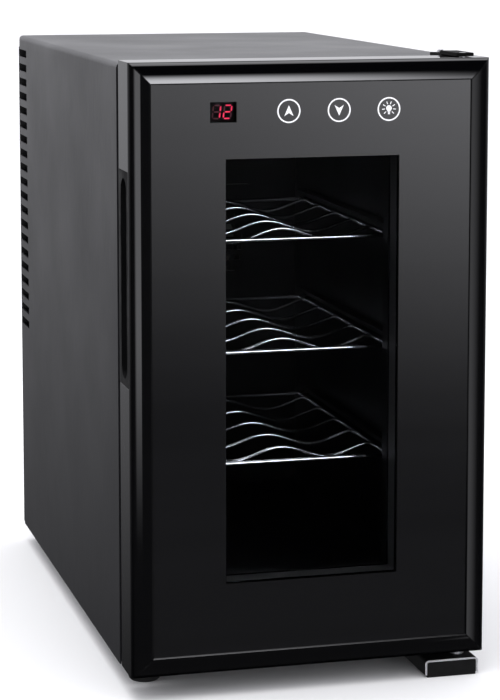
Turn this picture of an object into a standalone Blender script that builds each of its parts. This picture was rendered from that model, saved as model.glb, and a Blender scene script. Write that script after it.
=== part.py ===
"""Thermoelectric wine cooler: a steel cabinet with a foamed liner, three wire racks and a glass door.

Metres, +Z up. X runs across the cooler, -Y is the front, and the floor is at z = 0. The origin is
under the middle of the whole cooler. The door hangs on two pins at its right side.
"""
import math

import bmesh
import bpy
from mathutils import Matrix, Vector

# --- overall ---------------------------------------------------------------------------------
WIDTH = 0.266
DEPTH = 0.475
DOOR_HEIGHT = 0.440
DOOR_THICKNESS = 0.038
DOOR_GAP = 0.007            # between the door's back and the cabinet's front
FLOOR_GAP = 0.017           # floor to the door's lower edge
CABINET_BELOW_DOOR = 0.001  # the cabinet hangs this much lower than the door
CABINET_DROP = 0.002        # and its top is this much lower than the door's
GAP = 0.0003                # between pieces that touch

# --- cabinet -----------------------------------------------------------------------------------
SHEET = 0.0012
SHELL_CORNER = 0.004
REAR_FLANGE = 0.020
FOAM_WALL = 0.045           # side wall, outside of the shell to inside of the liner
FOAM_FLOOR = 0.053
FOAM_CEILING = 0.044
FOAM_BACK = 0.0425          # behind the liner
DUCT_DEPTH = 0.073          # air duct between the foam and the rear cover
BASE_PANEL = 0.0015
COVER_THICKNESS = 0.0022
LINER_WALL = 0.002
LINER_CORNER = 0.008

VENT_COUNT = 20
VENT_PITCH = 0.0125
VENT_FIRST_DROP = 0.0148    # first slot's middle below the cabinet's top
VENT_HEIGHT = 0.0063
VENT_LENGTH = 0.040
VENT_WRAP = 0.006           # how far a slot runs round the rear corner
COVER_SIDE = 0.0005         # rear cover's edges from the cabinet's sides
COVER_LIFT = 0.001          # and its lower edge above the cabinet's
COVER_SLOT_PITCH = 0.008
COVER_SLOT = 0.004
COVER_RIB = 0.008           # rib between the left and right slots

# --- racks -------------------------------------------------------------------------------------
RACK_COUNT = 3
RACK_PITCH = 0.083
RACK_SETBACK = 0.015        # front bar behind the cabinet's front
RACK_BACK_SPACE = 0.055     # rear bar to the liner's back
RACK_BAR_RADIUS = 0.00175
RACK_WIRE_RADIUS = 0.0015
RACK_SIDE_INSET = 0.012     # side rods inside the liner's wall
RACK_BAR_CLEARANCE = 0.0015
WAVE_PITCH = 0.045
WAVE_FIRST = 0.027          # first wavy wire behind the front bar
WAVE_CREST = 0.004
WAVE_TROUGH = 0.005
WAVE_STEPS = 12
BAR_SIDES = 8
WIRE_SIDES = 6
RAIL_DEPTH = 0.008
RAIL_HEIGHT = 0.003
RAIL_FRONT_SPACE = 0.008
RAIL_BACK_SPACE = 0.030

# --- cooling unit ------------------------------------------------------------------------------
UNIT_ABOVE_MIDDLE = 0.041   # fan axis above the middle of the liner
COLD_HOLE = 0.090
POCKET_CLEARANCE = 0.002
COLD_FAN_SIZE = 0.080
COLD_FAN_DEPTH = 0.015
COLD_SINK_SIZE = 0.080
COLD_FIN_DEPTH = 0.012
COLD_FAN_SPACE = 0.0045     # fan to the cold sink's fins
MODULE_SIZE = 0.040
MODULE_THICKNESS = 0.0036
MODULE_CLEARANCE = 0.002
HOT_SINK_WIDTH = 0.110
HOT_SINK_HEIGHT = 0.130
HOT_SINK_DEPTH = 0.034
SINK_BASE = 0.005
FIN_PITCH = 0.0076
FIN_THICKNESS = 0.0018
HOT_FAN_SIZE = 0.092
HOT_FAN_DEPTH = 0.025
FAN_TIP_CLEARANCE = 0.002
FAN_RIM = 0.003
FAN_BLADES = 7
FAN_HUB_SHARE = 0.2         # hub radius to fan size, and boss depth to fan depth
FAN_STRUT_SHARE = 0.03      # half a strut's width to fan size
FAN_FRONT_SHARE = 0.08      # rotor's front behind the frame's, to fan depth
BLADE_THICKNESS = 0.0014
BLADE_CHORD_SHARE = 1.1     # blade chord to rotor depth
BLADE_TWIST_DEGREES = 42
BACK_PLATE = 0.0009
GRILLE_SIZE = 0.100
GRILLE_THICKNESS = 0.003
GRILLE_CORNER = 0.006
GRILLE_SLOT_PITCH = 0.009
GRILLE_SLOT = 0.0045
CATCH_SHEET = 0.0010
CATCH_MARGIN = 0.003        # catch ring wider than the gasket on each side

SUPPLY_SIZE = (0.090, 0.034, 0.070)
SUPPLY_LEFT = -0.105
SUPPLY_LIFT = 0.020
SUPPLY_CORNER = 0.003
INLET_X = 0.066
INLET_LIFT = 0.045
INLET_WIDTH = 0.030
INLET_HEIGHT = 0.022
INLET_BODY = 0.024
INLET_WALL = 0.003
INLET_RECESS = 0.016
INLET_BLADE = 0.009
INLET_BLADE_THICKNESS = 0.002
INLET_BLADE_WIDTH = 0.004
INLET_BLADE_PITCH = 0.007
INLET_BLADE_RAISE = 0.002   # the middle blade is this much above the axis, the others below it

# --- lamp --------------------------------------------------------------------------------------
LAMP_LENGTH = 0.070
LAMP_WIDTH = 0.014
LAMP_BOARD = 0.0016
LAMP_LENS = 0.005
LAMP_LENS_WALL = 0.0012
LAMP_SETBACK = 0.030
LAMP_CORNER = 0.003
LAMP_BOARD_END = 0.003      # board's ends inside the lens's
LAMP_BOARD_SIDE = 0.002

# --- feet and hinges ---------------------------------------------------------------------------
FOOT_RADIUS = 0.0115
FOOT_STEM_RADIUS = 0.004
FOOT_STEM_LENGTH = 0.009
FOOT_CHAMFER = 0.001
FOOT_SIDE = 0.021           # foot axis from the cabinet's side
FRONT_FOOT_SETBACK = 0.013
REAR_FOOT_SETBACK = 0.283

HINGE_SIDE = 0.016          # pin axis from the door's right edge
HINGE_DEPTH = 0.018         # pin axis behind the door's front
PIN_RADIUS = 0.0025
PIN_ENGAGE = 0.010
PIN_HEAD_RADIUS = 0.0045
PIN_HEAD = 0.0015
PIN_CLEARANCE = 0.00025
BUSH_WALL = 0.0015
UPPER_PLATE = 0.0025
UPPER_PLATE_LIFT = 0.0005    # above the door's top
UPPER_PLATE_WIDTH = 0.013
UPPER_PLATE_NOSE = 0.0055   # plate in front of the pin axis
UPPER_PLATE_SEAT = 0.026    # length on the cabinet's top
LOWER_SHEET = 0.0015
LOWER_WIDTH = 0.041
LOWER_OFFSET = -0.0085      # bracket's middle from the pin axis
LOWER_FRONT = 0.004         # bracket's front behind the door's front
LOWER_SEAT = 0.042          # length under the cabinet
LOWER_DROP = 0.004          # bracket's top under the door
LOWER_LIFT = 0.0018         # bracket's legs above the floor
WASHER_RADIUS = 0.0055
SCREW_RADIUS = 0.0015
SCREW_HEAD_RADIUS = 0.003
SCREW_HEAD = 0.0016
SCREW_LENGTH = 0.008
SCREW_CLEARANCE = 0.0004
SCREW_POINT = 0.001

# --- door --------------------------------------------------------------------------------------
RAIL_FACE = 0.0155          # width of the door frame's face
RAIL_WALL = 0.0025
RAIL_CROWN = 0.007          # outer edge of the face behind its crest
RAIL_CREST = 0.009          # crest from the outer edge
RAIL_LIP = 0.0012
RAIL_STEPS = 5              # facets from the side wall to the crest
RAIL_INNER_ROUND = 0.002
RAIL_GLASS_STOP = 0.001     # rail's solid part behind the glass
GLASS_EDGE = 0.0105         # glass edge from the door's edge
OUTER_GLASS = 0.004
MASK = 0.0015
MASK_INSET = 0.001          # mask's edge inside the glass's
WINDOW_SIDE = 0.069         # window edge from the door's side
WINDOW_TOP = 0.0685
WINDOW_BOTTOM = 0.066
SPACER_WALL = 0.003
SPACER_DEPTH = 0.0145
INNER_GLASS = 0.003
INNER_GLASS_LAP = 0.008
INNER_PANEL = 0.003
GASKET_SIDE = 0.020         # gasket's outer edge from the door's edge
GASKET_WIDTH = 0.012
GASKET_CLEARANCE = 0.0004
GASKET_WAIST = 0.002
GASKET_BULB = 0.003
GASKET_LIP_SHARE = 0.35
DOOR_FOAM_SIDE = 0.025

HANDLE_LENGTH = 0.153
HANDLE_DROP = 0.077         # top of the pull below the door's top
HANDLE_FLANGE = 0.0018
HANDLE_DEPTH = 0.014
HANDLE_MARGIN = 0.003       # flange wider than the cup on each side
HANDLE_WALL = 0.002
HANDLE_REAR = 0.0015        # flange's edge in front of the door's back

CONTROL_DROP = 0.0355       # middle of the controls below the door's top
BOARD_SIZE = (0.160, 0.0016, 0.034)
BOARD_CENTRE_X = -0.005
PAD_RADIUS = 0.0075
PAD_DEPTH = 0.005
DISPLAY_X = -0.0656
DISPLAY_WIDTH = 0.0192
DISPLAY_HEIGHT = 0.0145
TOUCH_PITCH = 0.037
TOUCH_FIRST_X = -0.0181

# --- places worked out from the sizes ------------------------------------------------------------
HALF = WIDTH / 2
FRONT = -DEPTH / 2
REAR = DEPTH / 2
DOOR_BACK = FRONT + DOOR_THICKNESS
CABINET_FRONT = DOOR_BACK + DOOR_GAP
DOOR_BOTTOM = FLOOR_GAP
DOOR_TOP = DOOR_BOTTOM + DOOR_HEIGHT
CABINET_BOTTOM = DOOR_BOTTOM - CABINET_BELOW_DOOR
CABINET_TOP = DOOR_TOP - CABINET_DROP
SHELL_REAR = REAR - COVER_THICKNESS - GAP
INSIDE_HALF = HALF - SHEET - GAP            # clear inside of the shell
INSIDE_TOP = CABINET_TOP - SHEET - GAP
BASE_BOTTOM = CABINET_BOTTOM + GAP
BASE_TOP = BASE_BOTTOM + BASE_PANEL
INSIDE_BOTTOM = BASE_TOP + GAP

FOAM_REAR = REAR - DUCT_DEPTH - GAP
LINER_BACK = FOAM_REAR - FOAM_BACK - LINER_WALL
LINER_HALF = HALF - FOAM_WALL
LINER_FLOOR = CABINET_BOTTOM + FOAM_FLOOR
LINER_CEILING = CABINET_TOP - FOAM_CEILING
LINER_MIDDLE = (LINER_FLOOR + LINER_CEILING) / 2
FLANGE_BACK = CABINET_FRONT + LINER_WALL

UNIT_Z = LINER_MIDDLE + UNIT_ABOVE_MIDDLE
COLD_FAN_FRONT = LINER_BACK + GAP
MODULE_REAR = FOAM_REAR + GAP + BACK_PLATE
MODULE_FRONT = MODULE_REAR - MODULE_THICKNESS
COLD_SINK_REAR = MODULE_FRONT - GAP
COLD_FIN_TIP = COLD_FAN_FRONT + COLD_FAN_DEPTH + COLD_FAN_SPACE
HOT_SINK_FRONT = MODULE_REAR + GAP
HOT_FAN_FRONT = HOT_SINK_FRONT + HOT_SINK_DEPTH + GAP

HINGE_X = HALF - HINGE_SIDE
HINGE_Y = FRONT + HINGE_DEPTH
BUSH_RADIUS = PIN_RADIUS + PIN_CLEARANCE + BUSH_WALL
LOWER_TOP = DOOR_BOTTOM - LOWER_DROP
UPPER_PLATE_TOP = DOOR_TOP + UPPER_PLATE_LIFT + UPPER_PLATE

GLASS_FRONT = FRONT + RAIL_LIP + GAP
GLASS_BACK = GLASS_FRONT + OUTER_GLASS
MASK_FRONT = GLASS_BACK + GAP
MASK_BACK = MASK_FRONT + MASK
SPACER_FRONT = MASK_BACK + GAP
SPACER_BACK = SPACER_FRONT + SPACER_DEPTH
INNER_GLASS_FRONT = SPACER_BACK + GAP
INNER_GLASS_BACK = INNER_GLASS_FRONT + INNER_GLASS
WINDOW_HALF = HALF - WINDOW_SIDE
WINDOW_LOW = DOOR_BOTTOM + WINDOW_BOTTOM
WINDOW_HIGH = DOOR_TOP - WINDOW_TOP
CONTROL_Z = DOOR_TOP - CONTROL_DROP
HANDLE_HIGH = DOOR_TOP - HANDLE_DROP
HANDLE_LOW = HANDLE_HIGH - HANDLE_LENGTH

ROUND_SIDES = 24
SMALL_SIDES = 12


def clear_scene():
    """Removes the objects that the file starts with."""
    for item in list(bpy.data.objects):
        bpy.data.objects.remove(item, do_unlink=True)


def finish(name, colour, roughness, metallic=0.0, alpha=1.0):
    """A plain Principled material."""
    material = bpy.data.materials.get(name)
    if material:
        return material
    material = bpy.data.materials.new(name)
    material.use_nodes = True
    shader = material.node_tree.nodes["Principled BSDF"]
    shader.inputs["Base Color"].default_value = (*colour, 1.0)
    shader.inputs["Roughness"].default_value = roughness
    shader.inputs["Metallic"].default_value = metallic
    shader.inputs["Alpha"].default_value = alpha
    return material


def coated_steel():
    return finish("coated_steel", (0.055, 0.055, 0.060), 0.45, 0.2)


def black_plastic():
    return finish("black_plastic", (0.020, 0.020, 0.022), 0.40)


def gloss_black():
    return finish("gloss_black", (0.008, 0.008, 0.010), 0.12)


def plated_steel():
    return finish("plated_steel", (0.62, 0.62, 0.64), 0.25, 1.0)


def aluminium():
    return finish("aluminium", (0.70, 0.71, 0.73), 0.35, 1.0)


def rubber():
    return finish("rubber", (0.030, 0.030, 0.030), 0.75)


def foam():
    return finish("foam", (0.75, 0.68, 0.45), 0.90)


def clear_glass():
    return finish("clear_glass", (0.80, 0.84, 0.84), 0.03, 0.0, 0.3)


def circuit_board():
    return finish("circuit_board", (0.05, 0.22, 0.10), 0.50)


def add_object(name, mesh_data, material, smooth=False):
    """Turns a bmesh into a linked object with its faces pointing out."""
    bmesh.ops.recalc_face_normals(mesh_data, faces=mesh_data.faces[:])
    mesh = bpy.data.meshes.new(name)
    mesh_data.to_mesh(mesh)
    mesh_data.free()
    if material:
        mesh.materials.append(material)
    if smooth:
        mesh.shade_smooth()
        mesh.set_sharp_from_angle(angle=math.radians(35))
    item = bpy.data.objects.new(name, mesh)
    bpy.context.scene.collection.objects.link(item)
    return item


def add_box(mesh_data, low, high):
    """Adds one box to a bmesh and returns its vertices."""
    size = Vector(high) - Vector(low)
    middle = (Vector(high) + Vector(low)) / 2
    matrix = Matrix.Translation(middle) @ Matrix.Diagonal((*size, 1.0))
    return bmesh.ops.create_cube(mesh_data, size=1.0, matrix=matrix)["verts"]


def box(name, low, high, material=None):
    mesh_data = bmesh.new()
    add_box(mesh_data, low, high)
    return add_object(name, mesh_data, material)


def boxes(name, corners, material=None):
    """Several boxes that don't touch, in one object."""
    mesh_data = bmesh.new()
    for low, high in corners:
        add_box(mesh_data, low, high)
    return add_object(name, mesh_data, material)


def rounded_box(name, low, high, radius, along, material=None, segments=3):
    """A box with the edges that run along one axis rounded."""
    mesh_data = bmesh.new()
    add_box(mesh_data, low, high)
    axis = "XYZ".index(along)
    edges = [edge for edge in mesh_data.edges
             if abs((edge.verts[0].co - edge.verts[1].co)[axis]) > 1e-6]
    bmesh.ops.bevel(mesh_data, geom=edges, offset=radius, segments=segments,
                    profile=0.5, affect="EDGES")
    return add_object(name, mesh_data, material)


def prism(name, outline, along, start, end, material=None):
    """Extrudes an outline along X, Y or Z. The outline's two values are the other two axes in order."""
    mesh_data = bmesh.new()
    axis = "XYZ".index(along)

    def place(point, level):
        values = list(point)
        values.insert(axis, level)
        return mesh_data.verts.new(values)

    first = [place(point, start) for point in outline]
    last = [place(point, end) for point in outline]
    count = len(outline)
    mesh_data.faces.new(first)
    mesh_data.faces.new(last[::-1])
    for i in range(count):
        j = (i + 1) % count
        mesh_data.faces.new((first[i], last[i], last[j], first[j]))
    bmesh.ops.triangulate(mesh_data, faces=[face for face in mesh_data.faces if len(face.verts) > 4])
    return add_object(name, mesh_data, material)


def turned(name, profile, centre, along="Z", material=None, sides=ROUND_SIDES):
    """Turns a profile of (radius, level) points about an axis through the centre."""
    mesh_data = bmesh.new()
    axis = "XYZ".index(along)
    across = [index for index in range(3) if index != axis]
    rings = []
    for radius, level in profile:
        ring = []
        steps = 1 if radius == 0 else sides
        for step in range(steps):
            angle = 2 * math.pi * step / sides
            point = list(centre)
            point[across[0]] += radius * math.cos(angle)
            point[across[1]] += radius * math.sin(angle)
            point[axis] += level
            ring.append(mesh_data.verts.new(point))
        rings.append(ring)
    closed = profile[0][0] != 0
    pairs = list(zip(rings, rings[1:] + rings[:1])) if closed else list(zip(rings, rings[1:]))
    for near, far in pairs:
        for step in range(sides):
            following = (step + 1) % sides
            if len(near) == 1:
                mesh_data.faces.new((near[0], far[step], far[following]))
            elif len(far) == 1:
                mesh_data.faces.new((near[step], near[following], far[0]))
            else:
                mesh_data.faces.new((near[step], near[following], far[following], far[step]))
    return add_object(name, mesh_data, material, smooth=True)


def cylinder(name, radius, low, high, centre, along="Z", material=None, sides=ROUND_SIDES):
    """A round bar between two levels. The centre's own level is ignored."""
    point = list(centre)
    point["XYZ".index(along)] = 0.0
    profile = [(0, low), (radius, low), (radius, high), (0, high)]
    return turned(name, profile, point, along, material, sides)


def tube_ring(name, outer, inner, low, high, centre, along="Z", material=None):
    """A sleeve or washer."""
    point = list(centre)
    point["XYZ".index(along)] = 0.0
    profile = [(outer, low), (outer, high), (inner, high), (inner, low)]
    return turned(name, profile, point, along, material)


def combine(target, operation, tools):
    """Cuts or joins hidden tool objects into the target."""
    for tool in tools:
        tool.hide_render = True
        tool.display_type = "WIRE"
        modifier = target.modifiers.new(tool.name, "BOOLEAN")
        modifier.operation = operation
        modifier.solver = "EXACT"
        modifier.object = tool
    return target


def cut(target, *tools):
    return combine(target, "DIFFERENCE", tools)


def join(target, *tools):
    return combine(target, "UNION", tools)


def carried(name, place, build, *sizes):
    """Runs a builder and hangs all that it makes on an empty at the joint's axis."""
    known = {item.name for item in bpy.data.objects}
    build(*sizes)
    made = [item for item in bpy.data.objects if item.name not in known]
    axis = bpy.data.objects.new(name, None)
    axis.location = place
    bpy.context.scene.collection.objects.link(axis)
    for item in made:
        item.parent = axis
        item.matrix_parent_inverse = Matrix.Translation(-Vector(place))


def frame_ring(name, section, material, half=HALF, low=None, high=None):
    """Carries a section of (inset, y) points round a rectangle, with mitred corners."""
    low = DOOR_BOTTOM if low is None else low
    high = DOOR_TOP if high is None else high
    mesh_data = bmesh.new()
    corners = [(-1, low, 1), (1, low, 1), (1, high, -1), (-1, high, -1)]
    loops = []
    for side, level, up in corners:
        loops.append([mesh_data.verts.new((side * (half - inset), y, level + up * inset))
                      for inset, y in section])
    count = len(section)
    for near, far in zip(loops, loops[1:] + loops[:1]):
        for i in range(count):
            j = (i + 1) % count
            mesh_data.faces.new((near[i], near[j], far[j], far[i]))
    return add_object(name, mesh_data, material)


def flat_ring(name, outer_inset, inner_inset, near, far, material, **rectangle):
    """A flat ring of plate between two levels of y."""
    section = [(outer_inset, near), (outer_inset, far), (inner_inset, far), (inner_inset, near)]
    return frame_ring(name, section, material, **rectangle)


def screw(name, centre, along, under_head, direction, length=SCREW_LENGTH, head=SCREW_HEAD):
    """A pan-head screw. under_head is the level that its head sits on; direction points to the tip."""
    point = list(centre)
    point["XYZ".index(along)] = under_head
    profile = [(0, -direction * head), (SCREW_HEAD_RADIUS * 0.7, -direction * head),
               (SCREW_HEAD_RADIUS, -direction * head * 0.4), (SCREW_HEAD_RADIUS, 0),
               (SCREW_RADIUS, 0), (SCREW_RADIUS, direction * length),
               (0, direction * (length + SCREW_POINT))]
    return turned(name, profile, point, along, plated_steel(), SMALL_SIDES)


def screw_hole(name, centre, along, low, high):
    return cylinder(name, SCREW_RADIUS + SCREW_CLEARANCE, low, high, centre, along, None, SMALL_SIDES)


# --- cabinet -------------------------------------------------------------------------------------

def cover_screw_places():
    """Four screws through the rear cover into the shell's rear flange."""
    x = HALF - REAR_FLANGE * 0.7
    for side in (-1, 1):
        for level in (CABINET_BOTTOM + REAR_FLANGE * 0.7, CABINET_TOP - REAR_FLANGE * 0.7):
            yield Vector((side * x, 0.0, level))


def upper_screw_places():
    """Two screws through the upper hinge plate into the cabinet's top."""
    for share in (0.35, 0.8):
        yield Vector((HINGE_X, CABINET_FRONT + UPPER_PLATE_SEAT * share, 0.0))


def lower_screw_places():
    """Two screws through the lower hinge bracket into the base panel."""
    for side in (-1, 1):
        yield Vector((HINGE_X + LOWER_OFFSET + side * LOWER_WIDTH * 0.25,
                      CABINET_FRONT + LOWER_SEAT * 0.55, 0.0))


def foot_places():
    """Axes of the three round feet. The fourth support is the block in the lower hinge bracket."""
    x = HALF - FOOT_SIDE
    front = CABINET_FRONT + FRONT_FOOT_SETBACK
    rear = CABINET_FRONT + REAR_FOOT_SETBACK
    return {"foot_front_left": (-x, front), "foot_rear_left": (-x, rear), "foot_rear_right": (x, rear)}


def vent_cutters():
    """Slots on both sides that start near the rear edge and run round the corner."""
    corners = []
    for side in (-1, 1):
        inner = side * (HALF - VENT_WRAP)
        outer = side * (HALF + GAP)
        for index in range(VENT_COUNT):
            middle = CABINET_TOP - VENT_FIRST_DROP - index * VENT_PITCH
            corners.append(((min(inner, outer), SHELL_REAR - VENT_LENGTH, middle - VENT_HEIGHT / 2),
                            (max(inner, outer), SHELL_REAR + GAP, middle + VENT_HEIGHT / 2)))
    return boxes("vent_cutters", corners)


def shell_block(name, inset, low_front, low_bottom, material=None):
    """The shell's outer form, or the same form inset by the sheet, with rounded rear and top edges."""
    mesh_data = bmesh.new()
    add_box(mesh_data, (-HALF + inset, low_front, low_bottom),
            (HALF - inset, SHELL_REAR - inset, CABINET_TOP - inset))
    middle_y = (low_front + SHELL_REAR) / 2
    middle_z = (low_bottom + CABINET_TOP) / 2
    upright_rear = [edge for edge in mesh_data.edges
                    if all(vert.co.y > middle_y for vert in edge.verts)
                    and abs(edge.verts[0].co.z - edge.verts[1].co.z) > inset + GAP]
    long_top = [edge for edge in mesh_data.edges
                if all(vert.co.z > middle_z for vert in edge.verts)
                and abs(edge.verts[0].co.y - edge.verts[1].co.y) > inset + GAP]
    bmesh.ops.bevel(mesh_data, geom=upright_rear + long_top, offset=SHELL_CORNER - inset, segments=3,
                    profile=0.5, affect="EDGES")
    return add_object(name, mesh_data, material)


def build_shell():
    """The wrap-round steel shell: two sides, the top and a rear flange."""
    shell = shell_block("cabinet_shell", 0.0, CABINET_FRONT, CABINET_BOTTOM, coated_steel())
    hollow = shell_block("shell_hollow", SHEET, CABINET_FRONT - GAP, CABINET_BOTTOM - GAP)
    opening = box("shell_opening", (-HALF + REAR_FLANGE, SHELL_REAR - 2 * SHEET, CABINET_BOTTOM - GAP),
                  (HALF - REAR_FLANGE, SHELL_REAR + GAP, CABINET_TOP - REAR_FLANGE))
    holes = [screw_hole(f"shell_top_hole_{i}", place, "Z", CABINET_TOP - 2 * SHEET, CABINET_TOP + GAP)
             for i, place in enumerate(upper_screw_places())]
    holes += [screw_hole(f"shell_rear_hole_{i}", place, "Y", SHELL_REAR - 2 * SHEET, SHELL_REAR + GAP)
              for i, place in enumerate(cover_screw_places())]
    return cut(shell, hollow, opening, vent_cutters(), *holes)


def inside_block(name, near, far, material):
    """A block that fills the shell between two levels of y, with its top edges rounded to suit."""
    mesh_data = bmesh.new()
    add_box(mesh_data, (-INSIDE_HALF, near, INSIDE_BOTTOM), (INSIDE_HALF, far, INSIDE_TOP))
    long_top = [edge for edge in mesh_data.edges
                if all(vert.co.z > LINER_MIDDLE for vert in edge.verts)
                and abs(edge.verts[0].co.y - edge.verts[1].co.y) > GAP]
    bmesh.ops.bevel(mesh_data, geom=long_top, offset=SHELL_CORNER, segments=3, profile=0.5,
                    affect="EDGES")
    return add_object(name, mesh_data, material)


def build_base_panel():
    panel = rounded_box("base_panel", (-INSIDE_HALF, FLANGE_BACK + GAP, BASE_BOTTOM),
                        (INSIDE_HALF, SHELL_REAR - SHEET - GAP, BASE_TOP), SHELL_CORNER, "Z",
                        coated_steel())
    holes = [cylinder(f"stem_hole_{name}", FOOT_STEM_RADIUS + GAP, BASE_BOTTOM - GAP, BASE_TOP + GAP,
                      (x, y, 0.0)) for name, (x, y) in foot_places().items()]
    holes += [screw_hole(f"base_hole_{i}", place, "Z", BASE_BOTTOM - GAP, BASE_TOP + GAP)
              for i, place in enumerate(lower_screw_places())]
    return cut(panel, *holes)


def rack_levels():
    """Heights of the racks' front bars, lowest first."""
    for index in range(RACK_COUNT):
        yield LINER_MIDDLE + (index - (RACK_COUNT - 1) / 2) * RACK_PITCH


def rack_rails():
    """Pairs of moulded ledges on both liner walls. The racks' bar ends slide between them."""
    corners = []
    clear = RACK_BAR_RADIUS + GAP
    for level in rack_levels():
        for side in (-1, 1):
            wall = side * (LINER_HALF + LINER_WALL / 2)
            tip = side * (LINER_HALF - RAIL_DEPTH)
            for bottom in (level - clear - RAIL_HEIGHT, level + clear + GAP):
                corners.append(((min(wall, tip), CABINET_FRONT + RAIL_FRONT_SPACE, bottom),
                                (max(wall, tip), LINER_BACK - RAIL_BACK_SPACE, bottom + RAIL_HEIGHT)))
    return boxes("rack_rails", corners)


def build_liner():
    """The moulded inner liner: a tub with a front flange, rack rails and a hole for the cold air."""
    liner = inside_block("inner_liner", CABINET_FRONT, FLANGE_BACK, black_plastic())
    wall = LINER_WALL
    tub = rounded_box("liner_tub", (-LINER_HALF - wall, CABINET_FRONT + wall / 2, LINER_FLOOR - wall),
                      (LINER_HALF + wall, LINER_BACK + wall, LINER_CEILING + wall),
                      LINER_CORNER + wall, "Y")
    hollow = rounded_box("liner_hollow", (-LINER_HALF, CABINET_FRONT - GAP, LINER_FLOOR),
                         (LINER_HALF, LINER_BACK, LINER_CEILING), LINER_CORNER, "Y")
    reach = COLD_HOLE / 2
    hole = box("liner_air_hole", (-reach, LINER_BACK - wall, UNIT_Z - reach),
               (reach, LINER_BACK + 2 * wall, UNIT_Z + reach))
    join(liner, tub)
    cut(liner, hollow, hole)
    return join(liner, rack_rails())


def catch_span():
    """Inner and outer inset of the steel ring that the magnetic gasket pulls to."""
    return GASKET_SIDE - CATCH_MARGIN, GASKET_SIDE + GASKET_WIDTH + CATCH_MARGIN


def build_catch_frame():
    """A flat steel ring behind the liner's flange, where the magnetic gasket seats."""
    outer, inner = catch_span()
    near = FLANGE_BACK + GAP
    return flat_ring("catch_frame", outer, inner, near, near + CATCH_SHEET, plated_steel())


def build_insulation():
    """The foam between the shell and the liner."""
    near = FLANGE_BACK + GAP
    block = inside_block("insulation", near, FOAM_REAR, foam())
    skin = LINER_WALL + GAP
    tub = rounded_box("foam_tub", (-LINER_HALF - skin, near - GAP, LINER_FLOOR - skin),
                      (LINER_HALF + skin, LINER_BACK + skin, LINER_CEILING + skin),
                      LINER_CORNER + skin, "Y")
    reach = COLD_HOLE / 2 + POCKET_CLEARANCE
    pocket = box("foam_pocket", (-reach, LINER_BACK, UNIT_Z - reach),
                 (reach, COLD_SINK_REAR + GAP, UNIT_Z + reach))
    reach = MODULE_SIZE / 2 + MODULE_CLEARANCE
    passage = box("foam_passage", (-reach, COLD_SINK_REAR - GAP, UNIT_Z - reach),
                  (reach, FOAM_REAR + GAP, UNIT_Z + reach))
    outer, inner = catch_span()
    seat = flat_ring("foam_catch_seat", outer - GAP, inner + GAP, near - GAP, near + CATCH_SHEET + GAP,
                     None)
    stems = [cylinder(f"foam_stem_{name}", FOOT_STEM_RADIUS + GAP, INSIDE_BOTTOM - GAP,
                      BASE_BOTTOM + FOOT_STEM_LENGTH + GAP, (x, y, 0.0))
             for name, (x, y) in foot_places().items()]
    reach = SCREW_LENGTH + 2 * SCREW_POINT
    screws = [screw_hole(f"foam_top_{i}", place, "Z", CABINET_TOP - reach, INSIDE_TOP + GAP)
              for i, place in enumerate(upper_screw_places())]
    screws += [screw_hole(f"foam_base_{i}", place, "Z", INSIDE_BOTTOM - GAP, BASE_TOP + reach)
               for i, place in enumerate(lower_screw_places())]
    return cut(block, tub, pocket, passage, seat, *stems, *screws)


def build_back_plate():
    """The thin steel plate on the back of the foam."""
    near = FOAM_REAR + GAP
    plate = inside_block("foam_back_plate", near, near + BACK_PLATE, plated_steel())
    reach = MODULE_SIZE / 2 + MODULE_CLEARANCE
    return cut(plate, box("plate_passage", (-reach, near - GAP, UNIT_Z - reach),
                          (reach, near + BACK_PLATE + GAP, UNIT_Z + reach)))


def cover_grille():
    """Slots in the rear cover in front of the hot fan."""
    corners = []
    rows = int(HOT_FAN_SIZE / COVER_SLOT_PITCH)
    for row in range(rows):
        level = UNIT_Z + (row - (rows - 1) / 2) * COVER_SLOT_PITCH
        for side in (-1, 1):
            ends = (side * COVER_RIB / 2, side * HOT_FAN_SIZE / 2)
            corners.append(((min(ends), REAR - 2 * COVER_THICKNESS, level - COVER_SLOT / 2),
                            (max(ends), REAR + GAP, level + COVER_SLOT / 2)))
    return boxes("cover_grille", corners)


def inlet_box(margin, near, far):
    """Low and high corner of a box round the power inlet's axis."""
    level = CABINET_BOTTOM + INLET_LIFT
    return ((INLET_X - INLET_WIDTH / 2 - margin, near, level - INLET_HEIGHT / 2 - margin),
            (INLET_X + INLET_WIDTH / 2 + margin, far, level + INLET_HEIGHT / 2 + margin))


def build_rear_cover():
    """The plastic cover over the duct, with the fan's slots and a cut-out for the power inlet."""
    side = HALF - COVER_SIDE
    cover = box("rear_cover", (-side, REAR - COVER_THICKNESS, CABINET_BOTTOM + COVER_LIFT),
                (side, REAR, CABINET_TOP - REAR_FLANGE / 2), black_plastic())
    hole = SCREW_RADIUS + SCREW_CLEARANCE
    sink = SCREW_HEAD_RADIUS + SCREW_CLEARANCE
    seat = REAR - SCREW_HEAD
    profile = [(0, REAR - 2 * COVER_THICKNESS), (hole, REAR - 2 * COVER_THICKNESS), (hole, seat),
               (sink, seat), (sink, REAR + GAP), (0, REAR + GAP)]
    holes = [turned(f"cover_hole_{i}", profile, place, "Y", None, SMALL_SIDES)
             for i, place in enumerate(cover_screw_places())]
    socket = box("cover_socket", *inlet_box(GAP, REAR - 2 * COVER_THICKNESS, REAR + GAP))
    return cut(cover, cover_grille(), socket, *holes)


def build_cover_screws():
    for number, place in enumerate(cover_screw_places(), start=1):
        screw(f"rear_cover_screw_{number}", place, "Y", REAR - SCREW_HEAD + GAP, -1,
              head=SCREW_HEAD - 2 * GAP)


# --- cooling unit --------------------------------------------------------------------------------

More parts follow.
